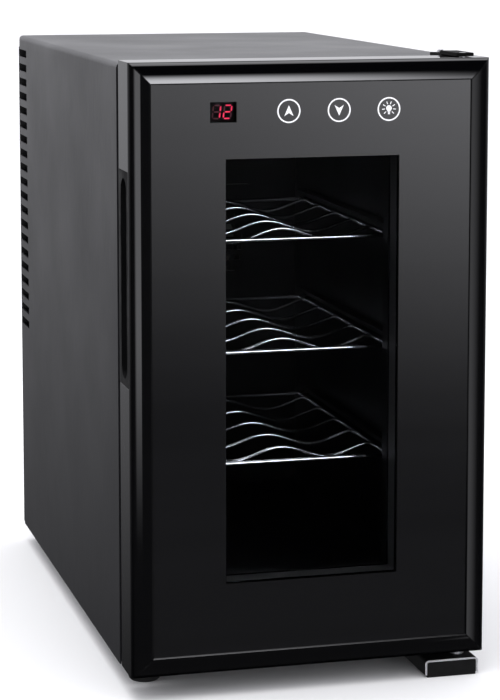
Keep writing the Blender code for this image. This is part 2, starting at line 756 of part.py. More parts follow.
def comb(width, near, base, far, centre=0.0):
    """Outline of a finned block: a base strip and fins that stand towards the far level."""
    count = int(width / FIN_PITCH)
    pitch = (width - FIN_THICKNESS) / count
    left = centre - width / 2
    points = [(left, near), (left + width, near)]
    for index in reversed(range(count + 1)):
        start = left + index * pitch
        if index < count:
            points.append((start + FIN_THICKNESS, base))
        points.append((start + FIN_THICKNESS, far))
        points.append((start, far))
        if index > 0:
            points.append((start, base))
    return points


def build_sinks():
    """The cold sink in the liner's pocket and the hot sink in the duct, with the module between."""
    half = COLD_SINK_SIZE / 2
    outline = comb(COLD_SINK_SIZE, COLD_SINK_REAR, COLD_FIN_TIP + COLD_FIN_DEPTH, COLD_FIN_TIP)
    prism("cold_sink", outline, "Z", UNIT_Z - half, UNIT_Z + half, aluminium())
    half = MODULE_SIZE / 2
    box("peltier_module", (-half, MODULE_FRONT, UNIT_Z - half), (half, MODULE_REAR, UNIT_Z + half),
        finish("ceramic", (0.85, 0.85, 0.82), 0.5))
    outline = comb(HOT_SINK_WIDTH, HOT_SINK_FRONT, HOT_SINK_FRONT + SINK_BASE,
                   HOT_SINK_FRONT + HOT_SINK_DEPTH)
    half = HOT_SINK_HEIGHT / 2
    prism("hot_sink", outline, "Z", UNIT_Z - half, UNIT_Z + half, aluminium())


def build_rotor(prefix, hub, tip, front, back):
    """A hub with pitched blades round it."""
    rotor = cylinder(f"{prefix}_fan_rotor", hub, front, back, (0.0, 0.0, UNIT_Z), "Y", black_plastic())
    half_chord = (back - front) * BLADE_CHORD_SHARE / 2
    half_thickness = BLADE_THICKNESS / 2
    place = Matrix.Translation((0.0, (front + back) / 2, UNIT_Z))
    twist = Matrix.Rotation(math.radians(BLADE_TWIST_DEGREES), 4, "X")
    for index in range(FAN_BLADES):
        mesh_data = bmesh.new()
        add_box(mesh_data, (hub * 0.8, -half_chord, -half_thickness), (tip, half_chord, half_thickness))
        turn = Matrix.Rotation(2 * math.pi * index / FAN_BLADES, 4, "Y")
        mesh_data.transform(place @ turn @ twist)
        join(rotor, add_object(f"{prefix}_blade_{index}", mesh_data, None))


def build_fan(prefix, size, near, depth):
    """An axial fan: a square frame with a strutted boss, and a bladed rotor that turns about Y."""
    centre = (0.0, 0.0, UNIT_Z)
    half = size / 2
    bore = half - FAN_RIM
    hub = size * FAN_HUB_SHARE
    boss_depth = depth * FAN_HUB_SHARE
    frame = box(f"{prefix}_fan_frame", (-half, near, UNIT_Z - half), (half, near + depth, UNIT_Z + half),
                black_plastic())
    cut(frame, cylinder(f"{prefix}_fan_bore", bore, near - GAP, near + depth + GAP, centre, "Y"))
    boss_front = near + depth - boss_depth
    strut = size * FAN_STRUT_SHARE
    struts = [box(f"{prefix}_strut_level", (-bore - GAP, boss_front, UNIT_Z - strut),
                  (bore + GAP, near + depth - GAP, UNIT_Z + strut)),
              box(f"{prefix}_strut_upright", (-strut, boss_front, UNIT_Z - bore - GAP),
                  (strut, near + depth - GAP, UNIT_Z + bore + GAP)),
              cylinder(f"{prefix}_boss", hub, boss_front - GAP, near + depth - 2 * GAP, centre, "Y")]
    join(frame, *struts)
    carried(f"{prefix}_fan_axis", centre, build_rotor, prefix, hub, bore - FAN_TIP_CLEARANCE,
            near + depth * FAN_FRONT_SHARE, boss_front - 4 * GAP)


def build_grille():
    """The slotted cover over the cold fan, on the liner's back wall."""
    half = GRILLE_SIZE / 2
    far = LINER_BACK - GAP
    grille = rounded_box("cold_fan_grille", (-half, far - GRILLE_THICKNESS, UNIT_Z - half),
                         (half, far, UNIT_Z + half), GRILLE_CORNER, "Y", black_plastic())
    slot = GRILLE_SLOT
    reach = COLD_FAN_SIZE / 2
    rows = int(2 * reach / GRILLE_SLOT_PITCH)
    corners = []
    for row in range(rows):
        offset = (row - (rows - 1) / 2) * GRILLE_SLOT_PITCH
        width = math.sqrt(max(reach ** 2 - offset ** 2, slot ** 2))
        corners.append(((-width, far - 2 * GRILLE_THICKNESS, UNIT_Z + offset - slot / 2),
                        (width, far + GAP, UNIT_Z + offset + slot / 2)))
    return cut(grille, boxes("grille_slots", corners))


def build_supply():
    """The power supply in the bottom of the duct, and the mains inlet in the rear cover."""
    width, depth, height = SUPPLY_SIZE
    near = MODULE_REAR + GAP
    bottom = BASE_TOP + SUPPLY_LIFT
    rounded_box("power_supply", (SUPPLY_LEFT, near, bottom),
                (SUPPLY_LEFT + width, near + depth, bottom + height), SUPPLY_CORNER, "Y",
                black_plastic())
    inlet = box("power_inlet", *inlet_box(0.0, REAR - INLET_BODY, REAR - GAP), gloss_black())
    low, high = inlet_box(-INLET_WALL, REAR - INLET_RECESS, REAR + GAP)
    cut(inlet, box("inlet_recess", low, high))
    half_thickness = INLET_BLADE_THICKNESS / 2
    half_width = INLET_BLADE_WIDTH / 2
    root = REAR - INLET_RECESS - half_thickness
    blades = []
    for index in (-1, 0, 1):
        x = INLET_X + index * INLET_BLADE_PITCH
        level = CABINET_BOTTOM + INLET_LIFT + (-INLET_BLADE_RAISE if index else INLET_BLADE_RAISE)
        blades.append(((x - half_thickness, root, level - half_width),
                       (x + half_thickness, REAR - INLET_RECESS + INLET_BLADE, level + half_width)))
    return join(inlet, boxes("inlet_blades", blades))


def build_lamp():
    """The light under the liner's ceiling: a small board behind a trough-shaped lens."""
    near = CABINET_FRONT + LAMP_SETBACK
    half = LAMP_LENGTH / 2
    top = LINER_CEILING - GAP
    end = LAMP_BOARD_END
    edge = LAMP_BOARD_SIDE
    box("lamp_board", (-half + end, near + edge, top - LAMP_BOARD),
        (half - end, near + LAMP_WIDTH - edge, top), circuit_board())
    lens = rounded_box("lamp_lens", (-half, near, top - LAMP_LENS), (half, near + LAMP_WIDTH, top),
                       LAMP_CORNER, "Z", clear_glass())
    wall = LAMP_LENS_WALL
    return cut(lens, box("lens_hollow", (-half + wall, near + wall, top - LAMP_LENS + wall),
                         (half - wall, near + LAMP_WIDTH - wall, top + GAP)))


# --- racks ---------------------------------------------------------------------------------------

def wire(name, points, radius, sides=BAR_SIDES, material=None):
    """A round wire along a list of points, with flat ends. No stretch runs along Z."""
    mesh_data = bmesh.new()
    rings = []
    for index, point in enumerate(points):
        before = points[max(index - 1, 0)]
        after = points[min(index + 1, len(points) - 1)]
        forward = (after - before).normalized()
        level = forward.cross(Vector((0.0, 0.0, 1.0))).normalized()
        upright = level.cross(forward).normalized()
        rings.append([mesh_data.verts.new(point + radius * (math.cos(angle) * level
                                                            + math.sin(angle) * upright))
                      for angle in (2 * math.pi * (side + 0.5) / sides for side in range(sides))])
    for near, far in zip(rings, rings[1:]):
        for side in range(sides):
            following = (side + 1) % sides
            mesh_data.faces.new((near[side], near[following], far[following], far[side]))
    mesh_data.faces.new(rings[0])
    mesh_data.faces.new(rings[-1][::-1])
    return add_object(name, mesh_data, material)


def wave_points(y, level):
    """A wavy wire: crests in the middle and at the ends, a trough for each bottle between."""
    reach = LINER_HALF - RACK_SIDE_INSET
    tip = reach - 3 * RACK_WIRE_RADIUS
    middle = (WAVE_CREST - WAVE_TROUGH) / 2
    swing = (WAVE_CREST + WAVE_TROUGH) / 2
    points = [Vector((-reach, y, level))]
    for step in range(WAVE_STEPS + 1):
        share = step / WAVE_STEPS
        x = -tip + 2 * tip * share
        points.append(Vector((x, y, level + middle + swing * math.cos(4 * math.pi * share))))
    points.append(Vector((reach, y, level)))
    return points


def build_rack(number, level):
    """A wire rack: front and rear bars, two side rods and wavy wires across them."""
    front = CABINET_FRONT + RACK_SETBACK
    rear = LINER_BACK - RACK_BACK_SPACE
    reach = LINER_HALF - RACK_BAR_CLEARANCE
    side = LINER_HALF - RACK_SIDE_INSET
    rack = wire(f"rack_{number}", [Vector((-reach, front, level)), Vector((reach, front, level))],
                RACK_BAR_RADIUS, material=plated_steel())
    tools = [wire(f"rack_{number}_rear", [Vector((-reach, rear, level)), Vector((reach, rear, level))],
                  RACK_BAR_RADIUS)]
    for index, x in enumerate((-side, side)):
        tools.append(wire(f"rack_{number}_side_{index}",
                          [Vector((x, front, level)), Vector((x, rear, level))], RACK_WIRE_RADIUS))
    count = int((rear - front - WAVE_FIRST) / WAVE_PITCH) + 1
    for index in range(count):
        y = front + WAVE_FIRST + index * WAVE_PITCH
        tools.append(wire(f"rack_{number}_wave_{index}", wave_points(y, level), RACK_WIRE_RADIUS,
                          WIRE_SIDES))
    return join(rack, *tools)


# --- feet and hinges -----------------------------------------------------------------------------

def build_feet():
    for name, (x, y) in foot_places().items():
        top = BASE_BOTTOM - GAP
        profile = [(0, 0), (FOOT_RADIUS - FOOT_CHAMFER, 0), (FOOT_RADIUS, FOOT_CHAMFER),
                   (FOOT_RADIUS, top * 0.4),
                   (FOOT_RADIUS * 0.8, top * 0.75), (FOOT_RADIUS * 0.8, top),
                   (FOOT_STEM_RADIUS, top), (FOOT_STEM_RADIUS, BASE_BOTTOM + FOOT_STEM_LENGTH),
                   (0, BASE_BOTTOM + FOOT_STEM_LENGTH)]
        turned(name, profile, (x, y, 0.0), "Z", rubber())


def build_upper_hinge():
    """A cranked steel plate screwed to the cabinet's top, and the pin that it holds over the door."""
    front = HINGE_Y - UPPER_PLATE_NOSE
    rear = CABINET_FRONT + UPPER_PLATE_SEAT
    seat = CABINET_TOP + GAP
    raised = UPPER_PLATE_TOP - UPPER_PLATE
    step = CABINET_FRONT + GAP
    lead = 2 * UPPER_PLATE
    outline = [(front, raised), (step - GAP, raised), (step + lead / 2, seat), (rear, seat),
               (rear, seat + UPPER_PLATE), (step + lead, seat + UPPER_PLATE),
               (step + lead / 2, UPPER_PLATE_TOP), (front, UPPER_PLATE_TOP)]
    half = UPPER_PLATE_WIDTH / 2
    plate = prism("upper_hinge_bracket", outline, "X", HINGE_X - half, HINGE_X + half, coated_steel())
    holes = [cylinder("upper_pin_hole", PIN_RADIUS + GAP, raised - GAP, UPPER_PLATE_TOP + GAP,
                      (HINGE_X, HINGE_Y, 0.0))]
    holes += [screw_hole(f"upper_plate_hole_{i}", place, "Z", seat - GAP, UPPER_PLATE_TOP + GAP)
              for i, place in enumerate(upper_screw_places())]
    cut(plate, *holes)
    cylinder("upper_hinge_pin", PIN_RADIUS, DOOR_TOP - PIN_ENGAGE, UPPER_PLATE_TOP,
             (HINGE_X, HINGE_Y, 0.0), "Z", plated_steel())
    for number, place in enumerate(upper_screw_places(), start=1):
        screw(f"upper_hinge_screw_{number}", place, "Z", seat + UPPER_PLATE + GAP, -1)


def lower_outline(shrink, bottom):
    """Side view of the lower bracket: low under the door, raised to the base under the cabinet."""
    front = FRONT + LOWER_FRONT
    rear = CABINET_FRONT + LOWER_SEAT
    low_top = LOWER_TOP - shrink
    high_top = BASE_BOTTOM - GAP - shrink
    step = CABINET_FRONT + 2 * GAP + shrink
    return [(front, bottom), (rear, bottom), (rear, high_top), (step, high_top),
            (step - GAP, low_top), (front, low_top)]


def build_lower_hinge():
    """A folded steel channel under the door and cabinet, its foot block, pin and washer."""
    middle = HINGE_X + LOWER_OFFSET
    half = LOWER_WIDTH / 2
    sheet = LOWER_SHEET
    bracket = prism("lower_hinge_bracket", lower_outline(0.0, LOWER_LIFT), "X", middle - half,
                    middle + half, plated_steel())
    left, right = middle - half + sheet, middle + half - sheet
    rear = CABINET_FRONT + LOWER_SEAT
    run = box("bracket_run", (left, FRONT, 0.0), (right, rear + GAP, LOWER_TOP - sheet))
    rise = box("bracket_rise", (left, CABINET_FRONT + 2 * GAP + sheet, LOWER_LIFT + sheet),
               (right, rear + 2 * GAP, BASE_BOTTOM - GAP - sheet))
    pin_hole = cylinder("lower_pin_hole", PIN_RADIUS + GAP, LOWER_TOP - 2 * sheet, LOWER_TOP + GAP,
                        (HINGE_X, HINGE_Y, 0.0))
    holes = [screw_hole(f"bracket_hole_{i}", place, "Z", LOWER_TOP - 2 * sheet, BASE_BOTTOM)
             for i, place in enumerate(lower_screw_places())]
    cut(bracket, run, rise, pin_hole, *holes)

    inner_half = half - sheet - GAP
    block = prism("hinge_foot_block", lower_outline(sheet + GAP, 0.0), "X", middle - inner_half,
                  middle + inner_half, rubber())
    pockets = [cylinder("block_pin_pocket", PIN_HEAD_RADIUS + GAP, LOWER_TOP - sheet - PIN_HEAD - 3 * GAP,
                        LOWER_TOP, (HINGE_X, HINGE_Y, 0.0))]
    deep = BASE_BOTTOM - sheet - SCREW_HEAD - 5 * GAP
    pockets += [cylinder(f"block_screw_pocket_{i}", SCREW_HEAD_RADIUS + GAP, deep, BASE_BOTTOM,
                         (place.x, place.y, 0.0), "Z", None, SMALL_SIDES)
                for i, place in enumerate(lower_screw_places())]
    cut(block, *pockets)

    under = LOWER_TOP - sheet - GAP
    profile = [(0, under - PIN_HEAD), (PIN_HEAD_RADIUS, under - PIN_HEAD), (PIN_HEAD_RADIUS, under),
               (PIN_RADIUS, under), (PIN_RADIUS, DOOR_BOTTOM + PIN_ENGAGE), (0, DOOR_BOTTOM + PIN_ENGAGE)]
    turned("lower_hinge_pin", profile, (HINGE_X, HINGE_Y, 0.0), "Z", plated_steel())
    tube_ring("hinge_washer", WASHER_RADIUS, PIN_RADIUS + GAP, LOWER_TOP + GAP, DOOR_BOTTOM - GAP,
              (HINGE_X, HINGE_Y, 0.0), "Z", plated_steel())
    for number, place in enumerate(lower_screw_places(), start=1):
        screw(f"lower_hinge_screw_{number}", place, "Z", BASE_BOTTOM - 2 * GAP - sheet, 1)


# --- door ----------------------------------------------------------------------------------------

def rail_section():
    """Door frame section as (inset, y): a crowned face, a lip over the glass and a side wall."""
    back = DOOR_BACK
    points = [(0.0, back), (0.0, FRONT + RAIL_CROWN)]
    for step in range(1, RAIL_STEPS + 1):
        angle = math.pi / 2 * step / RAIL_STEPS
        points.append((RAIL_CREST * (1 - math.cos(angle)), FRONT + RAIL_CROWN * (1 - math.sin(angle))))
    lip_back = FRONT + RAIL_LIP
    edge = GLASS_EDGE - GAP
    core = GLASS_BACK + RAIL_GLASS_STOP
    points += [(RAIL_FACE - RAIL_INNER_ROUND, FRONT + RAIL_LIP / 8), (RAIL_FACE, FRONT + RAIL_LIP / 2),
               (RAIL_FACE, lip_back), (edge, lip_back), (edge, core), (2 * RAIL_WALL, core),
               (RAIL_WALL, core + RAIL_WALL), (RAIL_WALL, back)]
    return points


def door_rail(name, side):
    """One mitred rail of the door frame. side is left, right, top or bottom."""
    section = rail_section()
    mitre = GAP / 2
    ends = []
    for end in (0, 1):
        loop = []
        for inset, y in section:
            low, high = DOOR_BOTTOM + inset, DOOR_TOP - inset
            left, right = -HALF + inset, HALF - inset
            if side in ("left", "right"):
                x = left if side == "left" else right
                loop.append((x, y, high - mitre if end else low + mitre))
            else:
                z = low if side == "bottom" else high
                loop.append((right - mitre if end else left + mitre, y, z))
        ends.append(loop)
    mesh_data = bmesh.new()
    near, far = [[mesh_data.verts.new(point) for point in loop] for loop in ends]
    count = len(section)
    for i in range(count):
        j = (i + 1) % count
        mesh_data.faces.new((near[i], near[j], far[j], far[i]))
    caps = [mesh_data.faces.new(near[::-1]), mesh_data.faces.new(far)]
    bmesh.ops.triangulate(mesh_data, faces=caps)
    return add_object(name, mesh_data, gloss_black(), smooth=True)


def handle_span(margin):
    """Levels of y that the pull's flange covers in the door's side, less a margin."""
    near = max(FRONT + RAIL_CROWN + 2 * GAP, MASK_BACK + GAP)
    return near + margin, DOOR_BACK - HANDLE_REAR - margin


def build_door_frame():
    """Four mitred rails. The left one is cut for the pull, the top and bottom ones for the bushes."""
    left = door_rail("door_rail_left", "left")
    near, far = handle_span(-GAP)
    cut(left, box("handle_cut", (-HALF - GAP, near, HANDLE_LOW - GAP),
                  (-HALF + RAIL_WALL + GAP, far, HANDLE_HIGH + GAP)))
    door_rail("door_rail_right", "right")
    axis = (HINGE_X, HINGE_Y, 0.0)
    radius = BUSH_RADIUS + GAP
    top = door_rail("door_rail_top", "top")
    cut(top, cylinder("top_bush_hole", radius, DOOR_TOP - 2 * RAIL_WALL, DOOR_TOP + GAP, axis))
    bottom = door_rail("door_rail_bottom", "bottom")
    cut(bottom, cylinder("bottom_bush_hole", radius, DOOR_BOTTOM - GAP, DOOR_BOTTOM + 2 * RAIL_WALL, axis))


def build_bushes():
    """Plastic sleeves in the door's top and bottom edges that turn on the hinge pins."""
    axis = (HINGE_X, HINGE_Y, 0.0)
    inner = PIN_RADIUS + PIN_CLEARANCE
    length = PIN_ENGAGE + PIN_RADIUS
    tube_ring("upper_bush", BUSH_RADIUS, inner, DOOR_TOP - length, DOOR_TOP, axis, "Z", black_plastic())
    tube_ring("lower_bush", BUSH_RADIUS, inner, DOOR_BOTTOM, DOOR_BOTTOM + length, axis, "Z",
              black_plastic())


def build_glazing():
    """Outer glass, printed mask, spacer tube and inner glass."""
    inset = GLASS_EDGE
    box("outer_glass", (-HALF + inset, GLASS_FRONT, DOOR_BOTTOM + inset),
        (HALF - inset, GLASS_BACK, DOOR_TOP - inset), clear_glass())
    edge = inset + MASK_INSET
    mask = box("mask_panel", (-HALF + edge, MASK_FRONT, DOOR_BOTTOM + edge),
               (HALF - edge, MASK_BACK, DOOR_TOP - edge), gloss_black())
    window = box("mask_window", (-WINDOW_HALF, MASK_FRONT - GAP, WINDOW_LOW),
                 (WINDOW_HALF, MASK_BACK + GAP, WINDOW_HIGH))
    half_width = DISPLAY_WIDTH / 2 + GAP
    half_height = DISPLAY_HEIGHT / 2 + GAP
    sight = box("mask_display", (DISPLAY_X - half_width, MASK_FRONT - GAP, CONTROL_Z - half_height),
                (DISPLAY_X + half_width, MASK_BACK + GAP, CONTROL_Z + half_height))
    cut(mask, window, sight)
    window_rectangle = {"half": WINDOW_HALF, "low": WINDOW_LOW, "high": WINDOW_HIGH}
    flat_ring("window_spacer", -SPACER_WALL, 0.0, SPACER_FRONT, SPACER_BACK, black_plastic(),
              **window_rectangle)
    lap = INNER_GLASS_LAP
    box("inner_glass", (-WINDOW_HALF - lap, INNER_GLASS_FRONT, WINDOW_LOW - lap),
        (WINDOW_HALF + lap, INNER_GLASS_BACK, WINDOW_HIGH + lap), clear_glass())


def build_inner_panel():
    """The plastic inner panel that closes the door's back, with a rim that backs the inner glass."""
    side = RAIL_WALL + GAP
    panel = box("door_inner_panel", (-HALF + side, DOOR_BACK - INNER_PANEL, DOOR_BOTTOM + side),
                (HALF - side, DOOR_BACK, DOOR_TOP - side), black_plastic())
    rim = SPACER_WALL
    rise = box("panel_rim", (-WINDOW_HALF - rim, INNER_GLASS_BACK + GAP, WINDOW_LOW - rim),
               (WINDOW_HALF + rim, DOOR_BACK - INNER_PANEL / 2, WINDOW_HIGH + rim))
    window = box("panel_window", (-WINDOW_HALF, INNER_GLASS_BACK, WINDOW_LOW),
                 (WINDOW_HALF, DOOR_BACK + GAP, WINDOW_HIGH))
    join(panel, rise)
    return cut(panel, window)


def build_gasket():
    """The magnetic gasket: a base strip on the door and a bulb that meets the cabinet."""
    near = DOOR_BACK + GAP
    far = CABINET_FRONT - GASKET_CLEARANCE
    outer = GASKET_SIDE
    inner = GASKET_SIDE + GASKET_WIDTH
    lip = (far - near) * GASKET_LIP_SHARE
    waist = GASKET_WAIST
    bulb = GASKET_BULB
    section = [(outer, near), (inner, near), (inner - waist, near + lip), (inner - waist / 2, far - lip),
               (inner - bulb, far), (outer + bulb, far), (outer + waist / 2, far - lip),
               (outer + waist, near + lip)]
    return frame_ring("door_gasket", section, rubber())


def build_door_foam():
    """Insulation at the sides of and below the window, behind the mask."""
    side = DOOR_FOAM_SIDE
    clear = SPACER_WALL + GAP
    near = MASK_BACK + GAP
    far = DOOR_BACK - INNER_PANEL - GAP
    block = box("door_foam", (-HALF + side, near, DOOR_BOTTOM + GLASS_EDGE),
                (HALF - side, far, WINDOW_HIGH), foam())
    tube = box("foam_window", (-WINDOW_HALF - clear, near - GAP, WINDOW_LOW - clear),
               (WINDOW_HALF + clear, far + GAP, WINDOW_HIGH + GAP))
    lap = INNER_GLASS_LAP + GAP
    pane = box("foam_pane", (-WINDOW_HALF - lap, SPACER_BACK, WINDOW_LOW - lap),
               (WINDOW_HALF + lap, INNER_GLASS_BACK + GAP, WINDOW_HIGH + GAP))
    return cut(block, tube, pane)


def build_handle():
    """The recessed finger pull in the door's left side: a flange and a cup."""
    near, far = handle_span(0.0)
    insert = box("handle_insert", (-HALF, near, HANDLE_LOW), (-HALF + HANDLE_FLANGE, far, HANDLE_HIGH),
                 gloss_black())
    margin = HANDLE_MARGIN
    cup = box("handle_cup", (-HALF + HANDLE_FLANGE / 2, near + margin, HANDLE_LOW + margin),
              (-HALF + HANDLE_DEPTH, far - margin, HANDLE_HIGH - margin))
    margin += HANDLE_WALL
    hollow = rounded_box("handle_hollow", (-HALF - GAP, near + margin, HANDLE_LOW + margin),
                         (-HALF + HANDLE_DEPTH - HANDLE_WALL, far - margin, HANDLE_HIGH - margin),
                         (far - near) / 2 - margin - GAP, "X", segments=4)
    join(insert, cup)
    return cut(insert, hollow)


def build_controls():
    """The control board behind the mask, the display in its window and three touch pads."""
    width, thickness, height = BOARD_SIZE
    pad_front = MASK_BACK + GAP
    board_front = pad_front + PAD_DEPTH + GAP
    box("control_board", (BOARD_CENTRE_X - width / 2, board_front, CONTROL_Z - height / 2),
        (BOARD_CENTRE_X + width / 2, board_front + thickness, CONTROL_Z + height / 2), circuit_board())
    box("display_module", (DISPLAY_X - DISPLAY_WIDTH / 2, MASK_FRONT, CONTROL_Z - DISPLAY_HEIGHT / 2),
        (DISPLAY_X + DISPLAY_WIDTH / 2, board_front - GAP, CONTROL_Z + DISPLAY_HEIGHT / 2), gloss_black())
    for index, name in enumerate(("up", "down", "light")):
        cylinder(f"touch_pad_{name}", PAD_RADIUS, pad_front, pad_front + PAD_DEPTH,
                 (TOUCH_FIRST_X + index * TOUCH_PITCH, 0.0, CONTROL_Z), "Y", rubber())


def build_cabinet():
    build_shell()
    build_base_panel()
    build_liner()
    build_catch_frame()
    build_insulation()
    build_back_plate()
    build_rear_cover()
    build_cover_screws()


def build_cooling_unit():
    build_sinks()
    build_fan("cold", COLD_FAN_SIZE, COLD_FAN_FRONT, COLD_FAN_DEPTH)
    build_fan("hot", HOT_FAN_SIZE, HOT_FAN_FRONT, HOT_FAN_DEPTH)
    build_grille()
    build_supply()
    build_lamp()


def build_door():
    build_door_frame()
    build_bushes()
    build_glazing()
    build_inner_panel()
    build_gasket()
    build_door_foam()
    build_handle()
    build_controls()


def main():
    clear_scene()
    build_cabinet()
    build_cooling_unit()
    for number, level in enumerate(rack_levels(), start=1):
        carried(f"rack_{number}_slide", (0.0, CABINET_FRONT + RACK_SETBACK, level), build_rack, number,
                level)
    build_feet()
    build_upper_hinge()
    build_lower_hinge()
    carried("door_axis", (HINGE_X, HINGE_Y, DOOR_BOTTOM), build_door)


main()
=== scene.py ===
"""Looks of a small thermoelectric wine cooler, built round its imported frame.

Metres, +Z up, front towards -Y. Sizes and places come from the frame's own nodes.
"""

import logging
import math
from dataclasses import dataclass
from enum import Enum
from typing import Iterable, Mapping, Sequence

import bmesh
import bpy
from mathutils import Matrix, Vector


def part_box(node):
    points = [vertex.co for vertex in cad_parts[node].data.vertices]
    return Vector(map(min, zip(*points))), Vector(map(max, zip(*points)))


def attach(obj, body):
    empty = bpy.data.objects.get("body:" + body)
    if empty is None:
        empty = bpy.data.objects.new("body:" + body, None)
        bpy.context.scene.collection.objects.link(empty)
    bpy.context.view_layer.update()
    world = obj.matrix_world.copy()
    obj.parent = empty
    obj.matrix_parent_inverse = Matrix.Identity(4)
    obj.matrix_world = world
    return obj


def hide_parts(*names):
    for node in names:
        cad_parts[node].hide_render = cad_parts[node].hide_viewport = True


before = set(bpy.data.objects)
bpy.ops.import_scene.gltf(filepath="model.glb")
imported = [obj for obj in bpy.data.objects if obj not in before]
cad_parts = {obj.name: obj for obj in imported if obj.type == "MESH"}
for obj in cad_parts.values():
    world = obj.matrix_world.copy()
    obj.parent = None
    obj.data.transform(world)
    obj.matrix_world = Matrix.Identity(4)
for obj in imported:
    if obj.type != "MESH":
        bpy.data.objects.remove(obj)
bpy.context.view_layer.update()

log = logging.getLogger("wine_cooler")

Point = Sequence[float]
Outline = list[tuple[float, float]]
Socket = bpy.types.NodeSocket
CLEARANCE = 0.0003           # between the frame's pieces that touch
SLIP = 0.0001                # keeps the printed films apart from the glass and from each other
SMOOTH_UNDER = 35.0          # degrees between two faces, past which their edge stays sharp
PATTERN_LOW = 0.3            # where most of a noise pattern's values start
PATTERN_HIGH = 0.7           # and where they end


class Nodes:
    """A node tree while its nodes are laid down."""

    def __init__(self, tree: bpy.types.NodeTree) -> None:
        """Starts on a tree.

        Args:
            tree: the tree that gets the nodes.
        """
        self.tree = tree

    def add(self, kind: str, inputs: Mapping[str | int, object] | None = None,
            **settings: object) -> bpy.types.Node:
        """Adds a node.

        Args:
            kind: the node's type.
            inputs: values or sockets for its inputs, by name or number.
            **settings: the node's own properties.

        Returns:
            The new node.
        """
        node = self.tree.nodes.new(kind)
        for name, value in settings.items():
            setattr(node, name, value)
        for name, value in (inputs or {}).items():
            if isinstance(value, Socket):
                self.tree.links.new(value, node.inputs[name])
            else:
                node.inputs[name].default_value = value
        return node

    def step(self, operation: str, *values: object) -> Socket:
        """One step of arithmetic on numbers and sockets."""
        return self.add("ShaderNodeMath", dict(enumerate(values)), operation=operation).outputs[0]


# --- finishes ------------------------------------------------------------------------------------

class Grain(Enum):
    """Which way a surface's fine grain is drawn out, as a stretch of its three axes."""

    UPRIGHT = (1.0, 1.0, 0.02)
    LENGTHWISE = (1.0, 0.02, 1.0)
    SIDEWAYS = (0.02, 1.0, 1.0)
    EVEN = (1.0, 1.0, 1.0)


class Shade(Nodes):
    """A Principled material while its nodes are laid down."""

    def __init__(self, name: str) -> None:
        """Starts a material.

        Args:
            name: the material's name.
        """
        self.material = bpy.data.materials.new(name)
        self.material.use_nodes = True
        super().__init__(self.material.node_tree)
        self.shader = self.tree.nodes["Principled BSDF"]
        self.where = self.tree.nodes.new("ShaderNodeTexCoord").outputs["Object"]

    def set(self, **values: object) -> None:
        """Sets the shader's own sockets, named with underscores for spaces."""
        for name, value in values.items():
            self.shader.inputs[name.replace("_", " ")].default_value = value

    def noise(self, scale: float, grain: Grain = Grain.EVEN, detail: float = 3.0) -> Socket:
        """A noise pattern on the piece.

        Args:
            scale: waves a metre across the grain.
            grain: which way the pattern is drawn out.
            detail: octaves.

        Returns:
            The pattern's value, about 0.5 in the middle.
        """
        place = self.add("ShaderNodeMapping", {"Vector": self.where, "Scale": grain.value})
        inputs = {"Vector": place.outputs[0], "Scale": scale, "Detail": detail}
        return self.add("ShaderNodeTexNoise", inputs).outputs[0]

    def cells(self, scale: float) -> Socket:
        """Distance to the nearest point of a scattered pattern with that many points a metre."""
        return self.add("ShaderNodeTexVoronoi", {"Vector": self.where, "Scale": scale}).outputs[0]

    def spread(self, value: Socket, low: float, high: float, start: float = PATTERN_LOW,
               end: float = PATTERN_HIGH) -> Socket:
        """Maps a pattern's range to another.

        Args:
            value: the pattern.
            low: what the start of its range becomes.
            high: what the end of its range becomes.
            start: where its range starts.
            end: where its range ends.

        Returns:
            The mapped value.
        """
        inputs = {0: value, 1: start, 2: end, 3: low, 4: high}
        return self.add("ShaderNodeMapRange", inputs).outputs[0]

    def colour(self, value: Socket, low: Point, high: Point) -> None:
        """Colours the surface from low to high by a pattern.

        Args:
            value: the pattern.
            low: the colour where the pattern is low.
            high: the colour where it is high.
        """
        ramp = self.add("ShaderNodeValToRGB", {0: value})
        stops = ramp.color_ramp.elements
        for stop, position, colour in zip(stops, (PATTERN_LOW, PATTERN_HIGH), (low, high)):
            stop.position = position
            stop.color = (*colour, 1.0)
        self.tree.links.new(ramp.outputs[0], self.shader.inputs["Base Color"])

    def rough(self, value: Socket) -> None:
        """Feeds the roughness from a pattern."""
        self.tree.links.new(value, self.shader.inputs["Roughness"])

    def bump(self, height: Socket, distance: float, strength: float = 1.0) -> None:
        """Raises the surface by a pattern, on top of any bump before.

        Args:
            height: the pattern.
            distance: how far it reaches, in metres.
            strength: how much of it shows.
        """
        socket = self.shader.inputs["Normal"]
        inputs: dict[str | int, object] = {"Height": height, "Distance": distance, "Strength": strength}
        if socket.is_linked:
            inputs["Normal"] = socket.links[0].from_socket
        self.tree.links.new(self.add("ShaderNodeBump", inputs).outputs[0], socket)


def dimmed(colour: Point, share: float) -> tuple[float, float, float]:
    """A colour made lighter or darker by a share."""
    return tuple(min(1.0, channel * share) for channel in colour)


@dataclass(frozen=True)
class Finish:
    """A named finish. Each kind of finish says how its nodes are laid."""

    name: str

    def material(self) -> bpy.types.Material:
        """The finish's material, made the first time that it's asked for.

        Returns:
            The material.
        """
        known = bpy.data.materials.get(self.name)
        if known:
            return known
        shade = Shade(self.name)
        self.lay(shade)
        return shade.material

    def lay(self, shade: Shade) -> None:
        """Lays the finish's nodes.

        Args:
            shade: the material that gets them.
        """
        raise NotImplementedError


